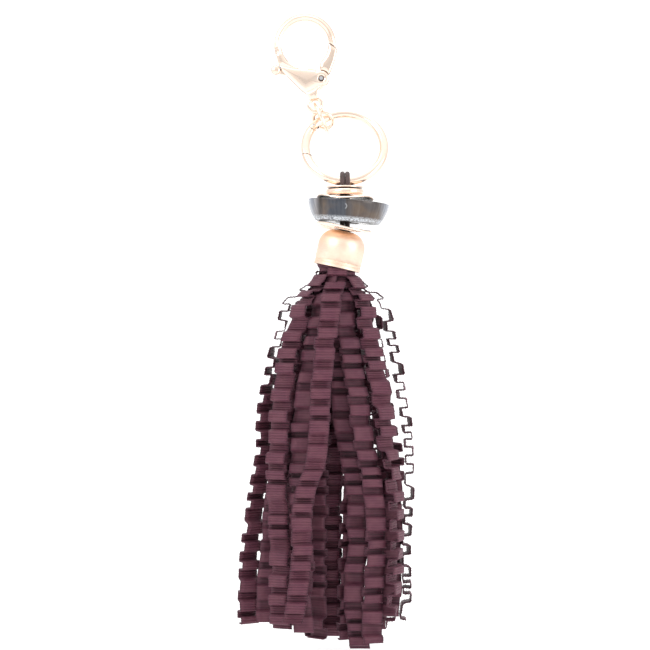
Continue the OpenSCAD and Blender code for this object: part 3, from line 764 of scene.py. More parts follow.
def mesh_from(name, points, faces):
    mesh = bpy.data.meshes.new(name)
    mesh.from_pydata([tuple(p) for p in points], [], faces)
    mesh.validate()
    bm = bmesh.new()
    bm.from_mesh(mesh)
    bmesh.ops.recalc_face_normals(bm, faces=bm.faces)
    bm.to_mesh(mesh)
    bm.free()
    return mesh


def disc_frame(node):
    """Centre and the three directions of a flat round node, leaned about Y."""
    mesh = joined_points(node)
    points = np.array([v.co for v in mesh.vertices], float)
    bpy.data.meshes.remove(mesh)
    low, high = points.min(0), points.max(0)
    middle = points.mean(0)
    spread = np.linalg.svd(points - middle, full_matrices=False)[2]
    up = spread[2] * np.sign(spread[2][2])
    up = np.array([up[0], 0.0, up[2]])
    up /= np.linalg.norm(up)
    x_dir = np.array([up[2], 0.0, -up[0]])
    return (low + high) / 2, x_dir, np.array([0.0, 1.0, 0.0]), up, points


def frame_points(centre, x_dir, y_dir, up, local):
    return (centre + np.outer(local[:, 0], x_dir) + np.outer(local[:, 1], y_dir)
            + np.outer(local[:, 2], up))


def ring_faces(rows, sides):
    """Faces between each closed ring of corners and the next."""
    return [(i * sides + k, i * sides + (k + 1) % sides, (i + 1) * sides + (k + 1) % sides,
             (i + 1) * sides + k) for i in range(rows) for k in range(sides)]


# ---------------------------------------------------------------- pieces

class CHARM_OT_clasp(bpy.types.Operator):
    """Cast lobster clasp: body with hook and eye, lever, pin and spring"""

    bl_idname = "charm.clasp"
    bl_label = "Clasp"

    def execute(self, context):
        voxel = context.scene.charm_metal.cast_voxel
        rose = polished_metal()
        cast_piece("clasp_casting", "clasp_body", "clasp", rose, voxel, 9,
                   crown=(5.5 * MM, 0.55))
        cast_piece("lever_casting", "clasp_lever", "lever", rose,
                   voxel * 0.8, 7, crown=(2.2 * MM, 0.58))
        steel = steel_metal()
        for node in ("clasp_pin", "clasp_spring"):
            frame["nodes"][node].data.materials.clear()
            frame["nodes"][node].data.materials.append(steel)
        return {"FINISHED"}


def wire_ring(name, node, body, wire_r, seam_at):
    """A jump ring bent from round wire, its two ends meeting at a fine seam."""
    frame_at = disc_frame(node)
    centre, points = frame_at[0], frame_at[-1]
    centred = points - (points.min(0) + points.max(0)) / 2
    way = np.linalg.svd(centred, full_matrices=False)[2]
    n, a, b = way[2], way[0], way[1]
    mean_r = np.linalg.norm(centred - np.outer(centred @ n, n), axis=1).max() - wire_r
    gap = 0.05 * MM / mean_r
    steps, sides = 150, 20
    turns = np.linspace(seam_at + gap, seam_at + 2 * math.pi - gap, steps)
    radii = np.full(steps, wire_r)
    turns = np.concatenate([[turns[0], turns[0] + 0.10 * MM / mean_r], turns[1:-1],
                            [turns[-1] - 0.10 * MM / mean_r, turns[-1]]])
    radii = np.concatenate([[wire_r * 0.86, wire_r], radii[1:-1], [wire_r, wire_r * 0.86]])
    rows = []
    for t, r in zip(turns, radii):
        out = math.cos(t) * a + math.sin(t) * b
        for k in range(sides):
            q = 2 * math.pi * k / sides
            rows.append(centre + out * (mean_r + r * math.cos(q)) + n * (r * math.sin(q)))
    last = len(turns)
    faces = ring_faces(last - 1, sides)
    faces.append(tuple(range(sides)))
    faces.append(tuple(reversed(range((last - 1) * sides, last * sides))))
    piece = made_object(name, mesh_from(name, rows, faces), polished_metal())
    piece.data.set_sharp_from_angle(angle=math.radians(50))
    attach(piece, body)
    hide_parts(node)
    return piece


class CHARM_OT_links(bpy.types.Operator):
    """Two jump rings of round wire"""

    bl_idname = "charm.links"
    bl_label = "Jump rings"

    def execute(self, context):
        wire_ring("upper_link", "jump_ring_upper", "upper_ring", LINK_WIRE_R, 0.6)
        wire_ring("lower_link", "jump_ring_lower", "lower_ring", LINK_WIRE_R, 2.4)
        return {"FINISHED"}


class CHARM_OT_gate_ring(bpy.types.Operator):
    """Round ring with a sprung gate on a pin"""

    bl_idname = "charm.gate_ring"
    bl_label = "Gate ring"

    def execute(self, context):
        rose = polished_metal()
        turned_piece("ring_bar", "gate_ring_body", "gate_ring", rose)
        gate = turned_piece("ring_gate", "gate_ring_gate", "gate", rose)
        pin = [j for j in frame["joints"] if j["child"] == "gate"][0]
        at, axis = Vector(pin["pos_m"]), Vector(pin["axis"]).normalized()
        away = []
        for v in gate.data.vertices:
            out = v.co - at
            away.append((out - out.dot(axis) * axis))
        reach = max(out.length for out in away)
        for v, out in zip(gate.data.vertices, away):
            if out.length > reach - 0.06 * MM:
                v.co -= out.normalized() * 0.28 * MM
        steel = steel_metal()
        for node in ("gate_pin", "gate_spring"):
            frame["nodes"][node].data.materials.clear()
            frame["nodes"][node].data.materials.append(steel)
        return {"FINISHED"}


def shape_tree(name, sockets):
    """An empty Geometry Nodes tree with the given inputs, and its two end nodes."""
    tree = bpy.data.node_groups.new(name, "GeometryNodeTree")
    for label, kind in (("Geometry", "Geometry"), *sockets, ("Material", "Material")):
        tree.interface.new_socket(label, in_out="INPUT", socket_type="NodeSocket" + kind)
    tree.interface.new_socket("Geometry", in_out="OUTPUT", socket_type="NodeSocketGeometry")
    return tree, tree.nodes.new("NodeGroupInput"), tree.nodes.new("NodeGroupOutput")


def cord_tree():
    """Geometry Nodes: a lobed section twisted along a route."""
    tree, start, end = shape_tree("Twisted Cord", (
        ("Radius", "Float"), ("Strands", "Int"), ("Strand Depth", "Float"), ("Lay", "Float"),
        ("Step", "Float")))
    route = tree.nodes.new("GeometryNodeMeshToCurve")
    even = add(tree, "GeometryNodeResampleCurve", mode="LENGTH")
    tilt = tree.nodes.new("GeometryNodeSetCurveTilt")
    run = tree.nodes.new("GeometryNodeSplineParameter")
    ring = tree.nodes.new("GeometryNodeCurvePrimitiveCircle")
    ring.inputs["Resolution"].default_value = 36
    here = tree.nodes.new("GeometryNodeInputPosition")
    lobes = tree.nodes.new("GeometryNodeSetPosition")
    sweep = tree.nodes.new("GeometryNodeCurveToMesh")
    sweep.inputs["Fill Caps"].default_value = True
    paint = tree.nodes.new("GeometryNodeSetMaterial")
    whole = tree.nodes.new("GeometryNodeRealizeInstances")
    turn = maths(tree, "MULTIPLY", maths(tree, "DIVIDE", run.outputs["Length"],
                                         start.outputs["Lay"]), 2 * math.pi)
    parts = add(tree, "ShaderNodeSeparateXYZ")
    join(tree, [(here.outputs[0], parts.inputs[0])])
    angle = maths(tree, "ARCTAN2", parts.outputs["Y"], parts.outputs["X"])
    wave = maths(tree, "ABSOLUTE", maths(tree, "SINE", maths(
        tree, "MULTIPLY", maths(tree, "MULTIPLY", angle, start.outputs["Strands"]), 0.5)))
    scale = maths(tree, "SUBTRACT", 1.0, maths(tree, "MULTIPLY", start.outputs["Strand Depth"],
                                               maths(tree, "SUBTRACT", 1.0, wave)))
    moved = vector_maths(tree, "SCALE", here.outputs[0], scale=scale)
    join(tree, [
        (start.outputs["Geometry"], route.inputs[0]), (route.outputs[0], even.inputs["Curve"]),
        (start.outputs["Step"], even.inputs["Length"]), (even.outputs[0], tilt.inputs[0]),
        (turn, tilt.inputs["Tilt"]), (start.outputs["Radius"], ring.inputs["Radius"]),
        (ring.outputs[0], lobes.inputs["Geometry"]), (moved, lobes.inputs["Position"]),
        (tilt.outputs[0], sweep.inputs["Curve"]), (lobes.outputs[0], sweep.inputs["Profile Curve"]),
        (sweep.outputs[0], paint.inputs["Geometry"]),
        (start.outputs["Material"], paint.inputs["Material"]),
        (paint.outputs[0], whole.inputs[0]), (whole.outputs[0], end.inputs[0]),
    ])
    return tree


def run_tree(name, tree, points, attributes, values, solid=None):
    """Runs a node tree on a line of points and returns the plain mesh."""
    line = bpy.data.meshes.new(name + "_line")
    line.from_pydata([tuple(p) for p in points], [(i, i + 1) for i in range(len(points) - 1)], [])
    for label, rows in attributes.items():
        made = line.attributes.new(label, "FLOAT_VECTOR", "POINT")
        made.data.foreach_set("vector", np.asarray(rows, np.float32).ravel())
    obj = link(bpy.data.objects.new(name + "_line", line))
    shape = obj.modifiers.new("shape", "NODES")
    shape.node_group = tree
    sockets = {s.name: s.identifier for s in tree.interface.items_tree if s.in_out == "INPUT"}
    for label, value in values.items():
        shape[sockets[label]] = value
    if solid is not None:
        wall = obj.modifiers.new("wall", "SOLIDIFY")
        wall.thickness = solid
        wall.offset = 0
        wall.use_even_offset = True
        wall.thickness_clamp = 0
    mesh = evaluated_mesh(obj, name)
    if len(mesh.polygons) < 50:
        raise RuntimeError(name + " came out empty")
    return mesh


def catmull_line(points, count):
    """An even, smooth line of count points through the given ones, and its length."""
    p = np.asarray(points, float)
    lots = []
    for i in range(len(p) - 1):
        a, b, c, d = p[max(i - 1, 0)], p[i], p[i + 1], p[min(i + 2, len(p) - 1)]
        for t in np.linspace(0, 1, 12, endpoint=False):
            lots.append(b + t * 0.5 * (c - a) + t * t * (a - 2.5 * b + 2 * c - 0.5 * d)
                        + t ** 3 * (1.5 * b - 0.5 * a - 1.5 * c + 0.5 * d))
    lots.append(p[-1])
    lots = np.array(lots)
    run = np.concatenate([[0], np.cumsum(np.linalg.norm(np.diff(lots[:, :3], axis=0), axis=1))])
    even = np.linspace(0, run[-1], count)
    rows = np.stack([np.interp(even, run, column) for column in lots.T], axis=1)
    return rows, run[-1]


def cord_route(side):
    """One cord: up behind the stack, over the ring's foot and down in front."""
    ron_low, ron_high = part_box("rondelle")
    x_low, x_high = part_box("cord_left" if side < 0 else "cord_right")
    radius = bpy.context.scene.charm_cord.diameter / 2
    middle_y = (x_low.y + x_high.y) / 2
    stack_x = x_high.x - radius - (0.9 * MM if side > 0 else -0.9 * MM)
    x = side * 0.9 * MM
    loop_r = 2.65 * MM
    foot_z = x_high.z - radius - loop_r
    leg_y = radius + 0.1 * MM
    head = Vector((CAP_FOOT[0] + HEAD_TOP * math.sin(CAP_LEAN), 0,
                   CAP_FOOT[2] + HEAD_TOP * math.cos(CAP_LEAN))) * MM
    cap_top = CAP_TOP_Z * MM
    drift = head.x - stack_x
    lean = math.tan(CAP_LEAN)
    ron = (ron_low.z + ron_high.z) / 2
    leg = [
        (drift, leg_y, head.z - x * lean), (drift / 2, leg_y, (head.z + cap_top) / 2 - x * lean),
        (-0.05 * MM, leg_y, cap_top), (0, leg_y, cap_top + 2 * MM),
        (0, leg_y, (cap_top + ron) / 2), (0, leg_y, ron - 3 * MM),
        (0, leg_y + 0.15 * MM, ron - 1 * MM), (0, leg_y + 0.8 * MM, ron + 0.6 * MM),
        (0, loop_r - 0.25 * MM, foot_z - 1.8 * MM),
    ]
    arc = [(0, loop_r * math.cos(a), foot_z + loop_r * math.sin(a))
           for a in np.radians(np.arange(180, -1, -22.5))]
    route = [(stack_x + x + p[0], middle_y - p[1], p[2]) for p in leg]
    route += [(stack_x + x, middle_y + p[1], p[2]) for p in arc]
    route += [(stack_x + x + p[0], middle_y + p[1], p[2]) for p in reversed(leg)]
    return route


class CHARM_OT_cords(bpy.types.Operator):
    """Doubled twisted cord, looped over the ring and down through the stack"""

    bl_idname = "charm.cords"
    bl_label = "Cords"

    def execute(self, context):
        s = context.scene.charm_cord
        tree = cord_tree()
        cloth = cord_cloth()
        for side, node in ((-1, "cord_left"), (1, "cord_right")):
            line, _ = catmull_line(cord_route(side), 160)
            mesh = run_tree("twisted_" + node, tree, line, {}, {
                "Radius": s.diameter / 2 * CORD_SWELL, "Strands": s.strands,
                "Strand Depth": STRAND_DEPTH, "Lay": s.lay, "Step": 0.0003, "Material": cloth})
            piece = made_object("twisted_" + node, mesh, cloth)
            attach(piece, "tassel")
            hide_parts(node)
        return {"FINISHED"}


def wavy_disc(name, node, body, radius, lobes, turn, seed, dark_side):
    """A thin disc whose rim waves up and down, slightly uneven as hand-bent metal is, with painted
    shade marked on one face inside the rim.
    """
    _, x_dir, y_dir, up, points = disc_frame(node)
    centre = points.mean(0)
    flat = points - centre
    out = np.hypot(flat @ x_dir, flat @ y_dir)
    hole = out.min()
    rows, wave_h, half = 22, 0.45 * MM, 0.19 * MM
    roll, soft = (0.34 * MM, 0.38 * MM) if dark_side < 0 else (0.72 * MM, 0.42 * MM)
    sides = 160
    radii = hole + (radius - hole) * np.linspace(0, 1, rows) ** 0.8
    top, under = [], []
    for r in radii:
        edge = max(0.0, (r - (radius - 0.3 * MM)) / (0.3 * MM))
        inner = max(0.0, ((hole + 0.2 * MM) - r) / (0.2 * MM))
        h = half * math.sqrt(max(0.02, 1 - max(edge, inner) ** 2))
        for k in range(sides):
            a = 2 * math.pi * k / sides
            z = wave_h * (r / radius) ** 2 * math.sin(lobes * a + math.radians(turn))
            z += 0.10 * MM * (r / radius) ** 2 * noise.noise(
                Vector((math.cos(a) * 2 + seed, math.sin(a) * 2, r / radius * 1.5)))
            grow = 1 + 0.008 * noise.noise(Vector((math.cos(a) * 3, math.sin(a) * 3, seed)))
            bead = roll * math.exp(-((r - radius + 0.45 * MM) / soft) ** 2)
            above, below = (bead, 0.0) if dark_side < 0 else (0.0, bead)
            top.append((r * grow * math.cos(a), r * grow * math.sin(a), z + h + above))
            under.append((r * grow * math.cos(a), r * grow * math.sin(a), z - h - below))
    local = np.array(top + under)
    n = rows * sides
    faces = []
    for i in range(rows - 1):
        for k in range(sides):
            a, b = i * sides + k, i * sides + (k + 1) % sides
            faces.append((a, a + sides, b + sides, b))
            faces.append((n + a, n + b, n + b + sides, n + a + sides))
    for i in (0, rows - 1):
        for k in range(sides):
            a, b = i * sides + k, i * sides + (k + 1) % sides
            faces.append((a, b, n + b, n + a))
    mesh = mesh_from(name, frame_points(centre, x_dir, y_dir, up, local), faces)
    # Painted shade: the dark side's face, inside the rim, is marked to be darkened where the discs
    # shade each other.
    painted_shade_layer = mesh.attributes.new("under", "FLOAT", "POINT")
    ring = np.repeat(np.clip((radius - 0.25 * MM - radii) / (0.5 * MM), 0, 1), sides)
    blank = np.zeros(n)
    shade = (blank, ring) if dark_side < 0 else (ring, blank)
    painted_shade_layer.data.foreach_set("value", np.concatenate(shade).astype(np.float32))
    piece = made_object(name, mesh, disc_metal())
    piece.data.set_sharp_from_angle(angle=math.radians(60))
    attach(piece, body)
    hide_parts(node)
    return piece


class CHARM_OT_stack(bpy.types.Operator):
    """Washers, rounded spacer and two wavy discs"""

    bl_idname = "charm.stack"
    bl_label = "Washers and discs"

    def execute(self, context):
        rose = polished_metal()
        for name, node, voxel, rounds in (("thin_washer", "top_washer", 0.12 * MM, 3),
                                          ("rounded_spacer", "rondelle", 0.15 * MM, 5),
                                          ("under_washer", "small_washer", 0.1 * MM, 3)):
            cast_piece(name, node, node, rose, voxel, rounds)
        wavy_disc("upper_wavy_disc", "wavy_disc_upper", "wavy_disc_upper", WAVY_DISC_R,
                  3, 200, 1.7, -1)
        wavy_disc("lower_wavy_disc", "wavy_disc_lower", "wavy_disc_lower", WAVY_DISC_R,
                  2, 20, 5.2, 1)
        return {"FINISHED"}


class CHARM_OT_stone(bpy.types.Operator):
    """Smoky stone disc with a chipped, frosted lower rim"""

    bl_idname = "charm.stone"
    bl_label = "Stone disc"

    def execute(self, context):
        centre, x_dir, y_dir, up, points = disc_frame("stone_disc")
        heights = (points - centre) @ up
        low, high = heights.min(), heights.max()
        rough = link(bpy.data.objects.new("stone_rough", joined_points("stone_disc")))
        cells = rough.modifiers.new("cells", "REMESH")
        cells.mode = "VOXEL"
        cells.voxel_size = 0.26 * MM
        polish = rough.modifiers.new("polish", "SMOOTH")
        polish.factor = 0.5
        polish.iterations = 4
        mesh = evaluated_mesh(rough, "stone")
        co = np.array([v.co for v in mesh.vertices], float)
        normal = np.array([v.normal for v in mesh.vertices], float)
        rel = co - centre
        height = (rel @ up - low) / (high - low)
        out = np.hypot(rel @ x_dir, rel @ y_dir)
        frost = np.clip((0.25 - height) / 0.13, 0, 1) * np.clip((out - 7.5 * MM) / (1.5 * MM), 0, 1)
        moves = np.zeros(len(co))
        for i, (p, f) in enumerate(zip(co, frost)):
            q = Vector(p)
            moves[i] = 0.035 * MM * noise.fractal(q * 500, 1.0, 2.0, 3)
            if f > 0:
                moves[i] -= f * 0.32 * MM * abs(noise.fractal(q * 900, 0.9, 2.0, 4))
                moves[i] -= f * 0.22 * MM * max(0.0, noise.noise(q * 330))
        co += normal * moves[:, None]
        mesh.vertices.foreach_set("co", co.astype(np.float32).ravel())
        made = mesh.attributes.new("frost", "FLOAT", "POINT")
        made.data.foreach_set("value", frost.astype(np.float32))
        mesh.update()
        piece = made_object("stone", mesh, stone_material(tuple(centre)))
        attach(piece, "stone")
        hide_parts("stone_disc")
        return {"FINISHED"}


class CHARM_OT_cap(bpy.types.Operator):
    """Satin bell cap over the head of the tassel"""

    bl_idname = "charm.cap"
    bl_label = "Bell cap"

    def execute(self, context):
        axis = (math.sin(CAP_LEAN), 0.0, math.cos(CAP_LEAN))
        centre = [v * MM for v in CAP_FOOT]
        turned_piece("bell", "bell_cap", "bell_cap", satin_metal(centre, axis),
                     28.0)
        return {"FINISHED"}


def pleat_tree():
    """Geometry Nodes: a strip of ribbed ribbon folded square along a route."""
    tree, start, end = shape_tree("Pleated Strip", [
        (label, "Float") for label in ("Pitch", "Steepness", "Phase", "Rib Pitch", "Rib Height",
                                       "Wall", "Step", "Seed")])
    route = tree.nodes.new("GeometryNodeMeshToCurve")
    even = add(tree, "GeometryNodeResampleCurve", mode="LENGTH")
    even.inputs["Length"].default_value = 0.0002
    across = add(tree, "GeometryNodeInputNamedAttribute", data_type="FLOAT_VECTOR")
    across.inputs["Name"].default_value = "across"
    size = add(tree, "GeometryNodeInputNamedAttribute", data_type="FLOAT_VECTOR")
    size.inputs["Name"].default_value = "size"
    run = tree.nodes.new("GeometryNodeSplineParameter")
    two_pi = 2 * math.pi
    wander = add(tree, "ShaderNodeTexNoise", noise_dimensions="2D", Scale=1.0, Detail=1.0)
    steps = tree.nodes.new("ShaderNodeCombineXYZ")
    join(tree, [(maths(tree, "MULTIPLY", run.outputs["Length"], 55.0), steps.inputs[0]),
                (start.outputs["Seed"], steps.inputs[1]),
                (steps.outputs[0], wander.inputs["Vector"])])
    turn = maths(tree, "ADD", maths(tree, "DIVIDE", run.outputs["Length"], start.outputs["Pitch"]),
                 start.outputs["Phase"])
    turn = maths(tree, "ADD", turn, maths(tree, "MULTIPLY", maths(
        tree, "SUBTRACT", wander.outputs["Fac"], 0.5), 1.7))
    parts = add(tree, "ShaderNodeSeparateXYZ")
    join(tree, [(size.outputs["Attribute"], parts.inputs[0])])
    half_depth = maths(tree, "MAXIMUM", maths(tree, "SUBTRACT", parts.outputs["Y"],
                       maths(tree, "MULTIPLY", start.outputs["Wall"], 0.6)), 0.0)
    share = maths(tree, "MINIMUM", maths(tree, "DIVIDE", half_depth, 0.0014), 1.15)
    slide = maths(tree, "MULTIPLY", maths(tree, "SINE", maths(tree, "MULTIPLY", turn, 2 * two_pi)),
                  maths(tree, "MULTIPLY", start.outputs["Steepness"],
                        maths(tree, "DIVIDE", start.outputs["Pitch"], -2 * two_pi)))
    slide = maths(tree, "MULTIPLY", slide, share)
    pick = add(tree, "GeometryNodeSampleCurve", mode="LENGTH", data_type="FLOAT_VECTOR",
               use_all_curves=True)
    join(tree, [(even.outputs[0], pick.inputs["Curves"]),
                (maths(tree, "ADD", run.outputs["Length"], slide), pick.inputs["Length"]),
                (across.outputs["Attribute"], pick.inputs["Value"])])
    fold = maths(tree, "ADD", maths(tree, "SINE", maths(tree, "MULTIPLY", turn, two_pi)),
                 maths(tree, "MULTIPLY", maths(tree, "SINE", maths(
                     tree, "MULTIPLY", turn, 3 * two_pi)), 0.19))
    fold = maths(tree, "MULTIPLY", maths(tree, "DIVIDE", fold, 0.98), half_depth)
    side = tree.nodes.new("ShaderNodeSeparateXYZ")
    face = tree.nodes.new("ShaderNodeCombineXYZ")
    join(tree, [(pick.outputs["Value"], side.inputs[0]),
                (maths(tree, "MULTIPLY", side.outputs["Y"], -1.0), face.inputs[0]),
                (side.outputs["X"], face.inputs[1])])
    folded = tree.nodes.new("GeometryNodeSetPosition")
    join(tree, [(even.outputs[0], folded.inputs["Geometry"]),
                (vector_maths(tree, "ADD", pick.outputs["Position"],
                              vector_maths(tree, "SCALE", face.outputs[0], scale=fold)),
                 folded.inputs["Position"])])
    length = tree.nodes.new("GeometryNodeCurveLength")
    grid = tree.nodes.new("GeometryNodeMeshGrid")
    grid.inputs["Size Y"].default_value = 2.0
    grid.inputs["Vertices Y"].default_value = 5
    here = tree.nodes.new("GeometryNodeInputPosition")
    spot = tree.nodes.new("ShaderNodeSeparateXYZ")
    join(tree, [(folded.outputs[0], length.inputs[0]), (length.outputs[0], grid.inputs["Size X"]),
                (maths(tree, "DIVIDE", length.outputs[0], start.outputs["Step"]),
                 grid.inputs["Vertices X"]),
                (here.outputs[0], spot.inputs[0])])
    along = maths(tree, "ADD", spot.outputs["X"], maths(tree, "MULTIPLY", length.outputs[0], 0.5))
    lay_across = add(tree, "GeometryNodeSampleCurve", mode="LENGTH", data_type="FLOAT_VECTOR",
                     use_all_curves=True)
    lay_size = add(tree, "GeometryNodeSampleCurve", mode="LENGTH", data_type="FLOAT_VECTOR",
                   use_all_curves=True)
    join(tree, [(folded.outputs[0], lay_across.inputs["Curves"]),
                (along, lay_across.inputs["Length"]),
                (across.outputs["Attribute"], lay_across.inputs["Value"]),
                (folded.outputs[0], lay_size.inputs["Curves"]), (along, lay_size.inputs["Length"]),
                (size.outputs["Attribute"], lay_size.inputs["Value"])])
    wide = tree.nodes.new("ShaderNodeSeparateXYZ")
    join(tree, [(lay_size.outputs["Value"], wide.inputs[0])])
    off = maths(tree, "MULTIPLY", spot.outputs["Y"], wide.outputs["X"])
    normal = vector_maths(tree, "NORMALIZE", vector_maths(
        tree, "CROSS_PRODUCT", lay_across.outputs["Value"], lay_across.outputs["Tangent"]))
    rib = maths(tree, "MULTIPLY", maths(tree, "COSINE", maths(
        tree, "MULTIPLY", maths(tree, "DIVIDE", along, start.outputs["Rib Pitch"]), two_pi)),
        start.outputs["Rib Height"])
    rib = maths(tree, "MULTIPLY", rib, 0.5)
    placed = vector_maths(tree, "ADD", lay_across.outputs["Position"],
                          vector_maths(tree, "SCALE", lay_across.outputs["Value"], scale=off))
    placed = vector_maths(tree, "ADD", placed, vector_maths(tree, "SCALE", normal, scale=rib))
    keep = add(tree, "GeometryNodeStoreNamedAttribute", data_type="FLOAT2", domain="CORNER")
    keep.inputs["Name"].default_value = "Strip"
    cloth_map = tree.nodes.new("ShaderNodeCombineXYZ")
    join(tree, [(maths(tree, "MULTIPLY", along, 10.0), cloth_map.inputs[0]),
                (maths(tree, "MULTIPLY", off, 10.0), cloth_map.inputs[1]),
                (grid.outputs["Mesh"], keep.inputs["Geometry"]),
                (cloth_map.outputs[0], keep.inputs["Value"])])
    sheet = tree.nodes.new("GeometryNodeSetPosition")
    paint = tree.nodes.new("GeometryNodeSetMaterial")
    whole = tree.nodes.new("GeometryNodeRealizeInstances")
    join(tree, [
        (start.outputs["Geometry"], route.inputs[0]), (route.outputs[0], even.inputs["Curve"]),
        (keep.outputs[0], sheet.inputs["Geometry"]), (placed, sheet.inputs["Position"]),
        (sheet.outputs[0], whole.inputs[0]), (whole.outputs[0], paint.inputs["Geometry"]),
        (start.outputs["Material"], paint.inputs["Material"]), (paint.outputs[0], end.inputs[0]),
    ])
    return tree


def strip_route(node):
    """Centre, width direction and half sizes of a strip at each of its level rings."""
    mesh = joined_points(node)
    points = np.array([v.co for v in mesh.vertices], float)
    bpy.data.meshes.remove(mesh)
    order = points[np.argsort(-points[:, 2])]
    rings, current = [], [order[0]]
    for p in order[1:]:
        if abs(p[2] - current[-1][2]) < 2e-6:
            current.append(p)
        else:
            rings.append(np.array(current))
            current = [p]
    rings.append(np.array(current))
    rows, before = [], None
    for ring in rings:
        if len(ring) != 4:
            raise RuntimeError(f"{node} has a level with {len(ring)} corners")
        middle = ring.mean(0)
        gaps = [(np.linalg.norm(ring[0] - q), i) for i, q in enumerate(ring) if i]
        gaps.sort()
        short, long = gaps[0], gaps[1]
        way = ring[long[1]] - ring[0]
        way[2] = 0
        way /= np.linalg.norm(way)
        if before is not None and way @ before < 0:
            way = -way
        before = way
        rows.append([*middle, *way, long[0] / 2, short[0] / 2])
    return np.array(rows)


class CHARM_OT_tassel(bpy.types.Operator):
    """Tassel of pleated ribbon strips, and the bound head that they hang from"""

    bl_idname = "charm.tassel"
    bl_label = "Tassel"

    def execute(self, context):
        s = context.scene.charm_ribbon
        cloth = ribbon_cloth()
        tree = pleat_tree()
        for i, node in enumerate(RIBBONS):
            smooth, length = catmull_line(strip_route(node), 260)
            smooth = self.hand_set(smooth, length, i, s)
            across = smooth[:, 3:6] / np.linalg.norm(smooth[:, 3:6], axis=1)[:, None]
            sizes = np.zeros((len(smooth), 3))
            sizes[:, 0] = smooth[:, 6]
            sizes[:, 1] = smooth[:, 7] * s.fold_depth
            pitch = s.pitch * (1 + 0.05 * math.sin(i * 2.3))
            name = "strip_%02d" % (i + 1)
            mesh = run_tree(name, tree, smooth[:, :3], {"across": across, "size": sizes}, {
                "Pitch": pitch, "Steepness": s.steep, "Phase": (i * 0.37) % 1.0,
                "Rib Pitch": s.rib_pitch, "Rib Height": s.rib_height, "Wall": s.thickness,
                "Step": s.step, "Seed": 3.1 * i, "Material": cloth}, s.thickness)
            piece = made_object(name, mesh, cloth)
            if node in SWINGING:
                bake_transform(piece)
            else:
                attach(piece, "tassel")
            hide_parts(node)
        self.bound_head(cloth)
        return {"FINISHED"}

    def hand_set(self, rows, length, i, s):
        """Small turns and shifts of the folds, as heat-set pleats settle unevenly."""
        run = np.linspace(0, length, len(rows))
        free = np.clip((run - 6 * MM) / (16 * MM), 0, 1)
        out = rows.copy()
        opened = np.clip((run - 0.5 * MM) / (3.2 * MM), 0, 1)
        opened = opened * opened * (3 - 2 * opened)
        out[:, 6] = np.maximum(rows[:, 6], 3.3 * MM + 0.35 * MM * opened)
        out[:, 7] = np.maximum(rows[:, 7], 1.5 * MM * opened)
        for k, r in enumerate(run):
            place = Vector((r / (9 * MM), 7.3 * i, 0.0))
            wide = Vector((r / (24 * MM), 3.1 * i, 4.0))
            turn = free[k] * s.unevenness * (
                0.38 * noise.noise(place) + 0.30 * noise.noise(wide))
            u = rows[k, 3:6] / np.linalg.norm(rows[k, 3:6])
            edge_on = np.interp(r / MM, *EDGE_ON.get(i, ((0, 1), (0, 0))))
            u = (1 - edge_on) * u + edge_on * np.array([0.0, math.copysign(1.0, u[1]), 0.0])
            face_on = np.interp(r / MM, *FACE_ON.get(i, ((0, 1), (0, 0))))
            u = (1 - face_on) * u + face_on * np.array([1.0, 0.0, 0.0])
            u /= np.linalg.norm(u)
            v = np.array([-u[1], u[0], 0.0])
            out[k, 3:6] = math.cos(turn) * u + math.sin(turn) * v
            out[k, :3] += free[k] * s.unevenness * MM * (
                0.75 * noise.noise(place + Vector((0, 0, 9))) * u
                + 0.30 * noise.noise(place + Vector((0, 0, 17))) * v)
        return out

    def bound_head(self, cloth):
        """The gathered ends of the strips inside the cap."""
        low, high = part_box("tassel_head")
        axis = np.array([math.sin(CAP_LEAN), 0.0, math.cos(CAP_LEAN)])
        foot = np.array(CAP_FOOT) * MM
        radius = (high.y - low.y) / 2
        top, cut = HEAD_TOP * MM, low.z
        sides, rows = 220, 20
        local = []
        for j in range(rows + 1):
            t = j / rows
            for k in range(sides):
                a = 2 * math.pi * k / sides
                ruffle = 1 - 0.14 * (0.5 + 0.5 * math.cos(a * 11 + 1.2 * math.sin(a * 2))) ** 5
                shoulder = 1 - 0.22 * max(0.0, (t - 0.75) / 0.25) ** 2
                r = radius * ruffle * shoulder
                across = np.array([axis[2], 0, -axis[0]]) * r * math.cos(a)
                level = foot + across + np.array([0, r * math.sin(a), 0])
                start = (cut + 0.02 * MM - level[2]) / axis[2]
                local.append(level + axis * (start + (top - start) * t))
        count = len(local)
        local.append(foot + axis * ((cut + 0.02 * MM - foot[2]) / axis[2]))
        local.append(foot + axis * top)
        faces = ring_faces(rows, sides)
        for k in range(sides):
            b = (k + 1) % sides
            faces.append((count, b, k))
            faces.append((rows * sides + k, rows * sides + b, count + 1))
        mesh = mesh_from("bound_head", local, faces)
        wrap = mesh.uv_layers.new(name="Strip")
        for loop in mesh.loops:
            v = loop.vertex_index
            k, j = (v % sides, v // sides) if v < count else (0, 0)
            wrap.data[loop.index].uv = (j * 0.0046, ((k * 3.7 / sides) % 1.0) * 0.06 - 0.03)
        piece = made_object("bound_head", mesh, cloth)
        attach(piece, "tassel")
        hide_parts("tassel_head")


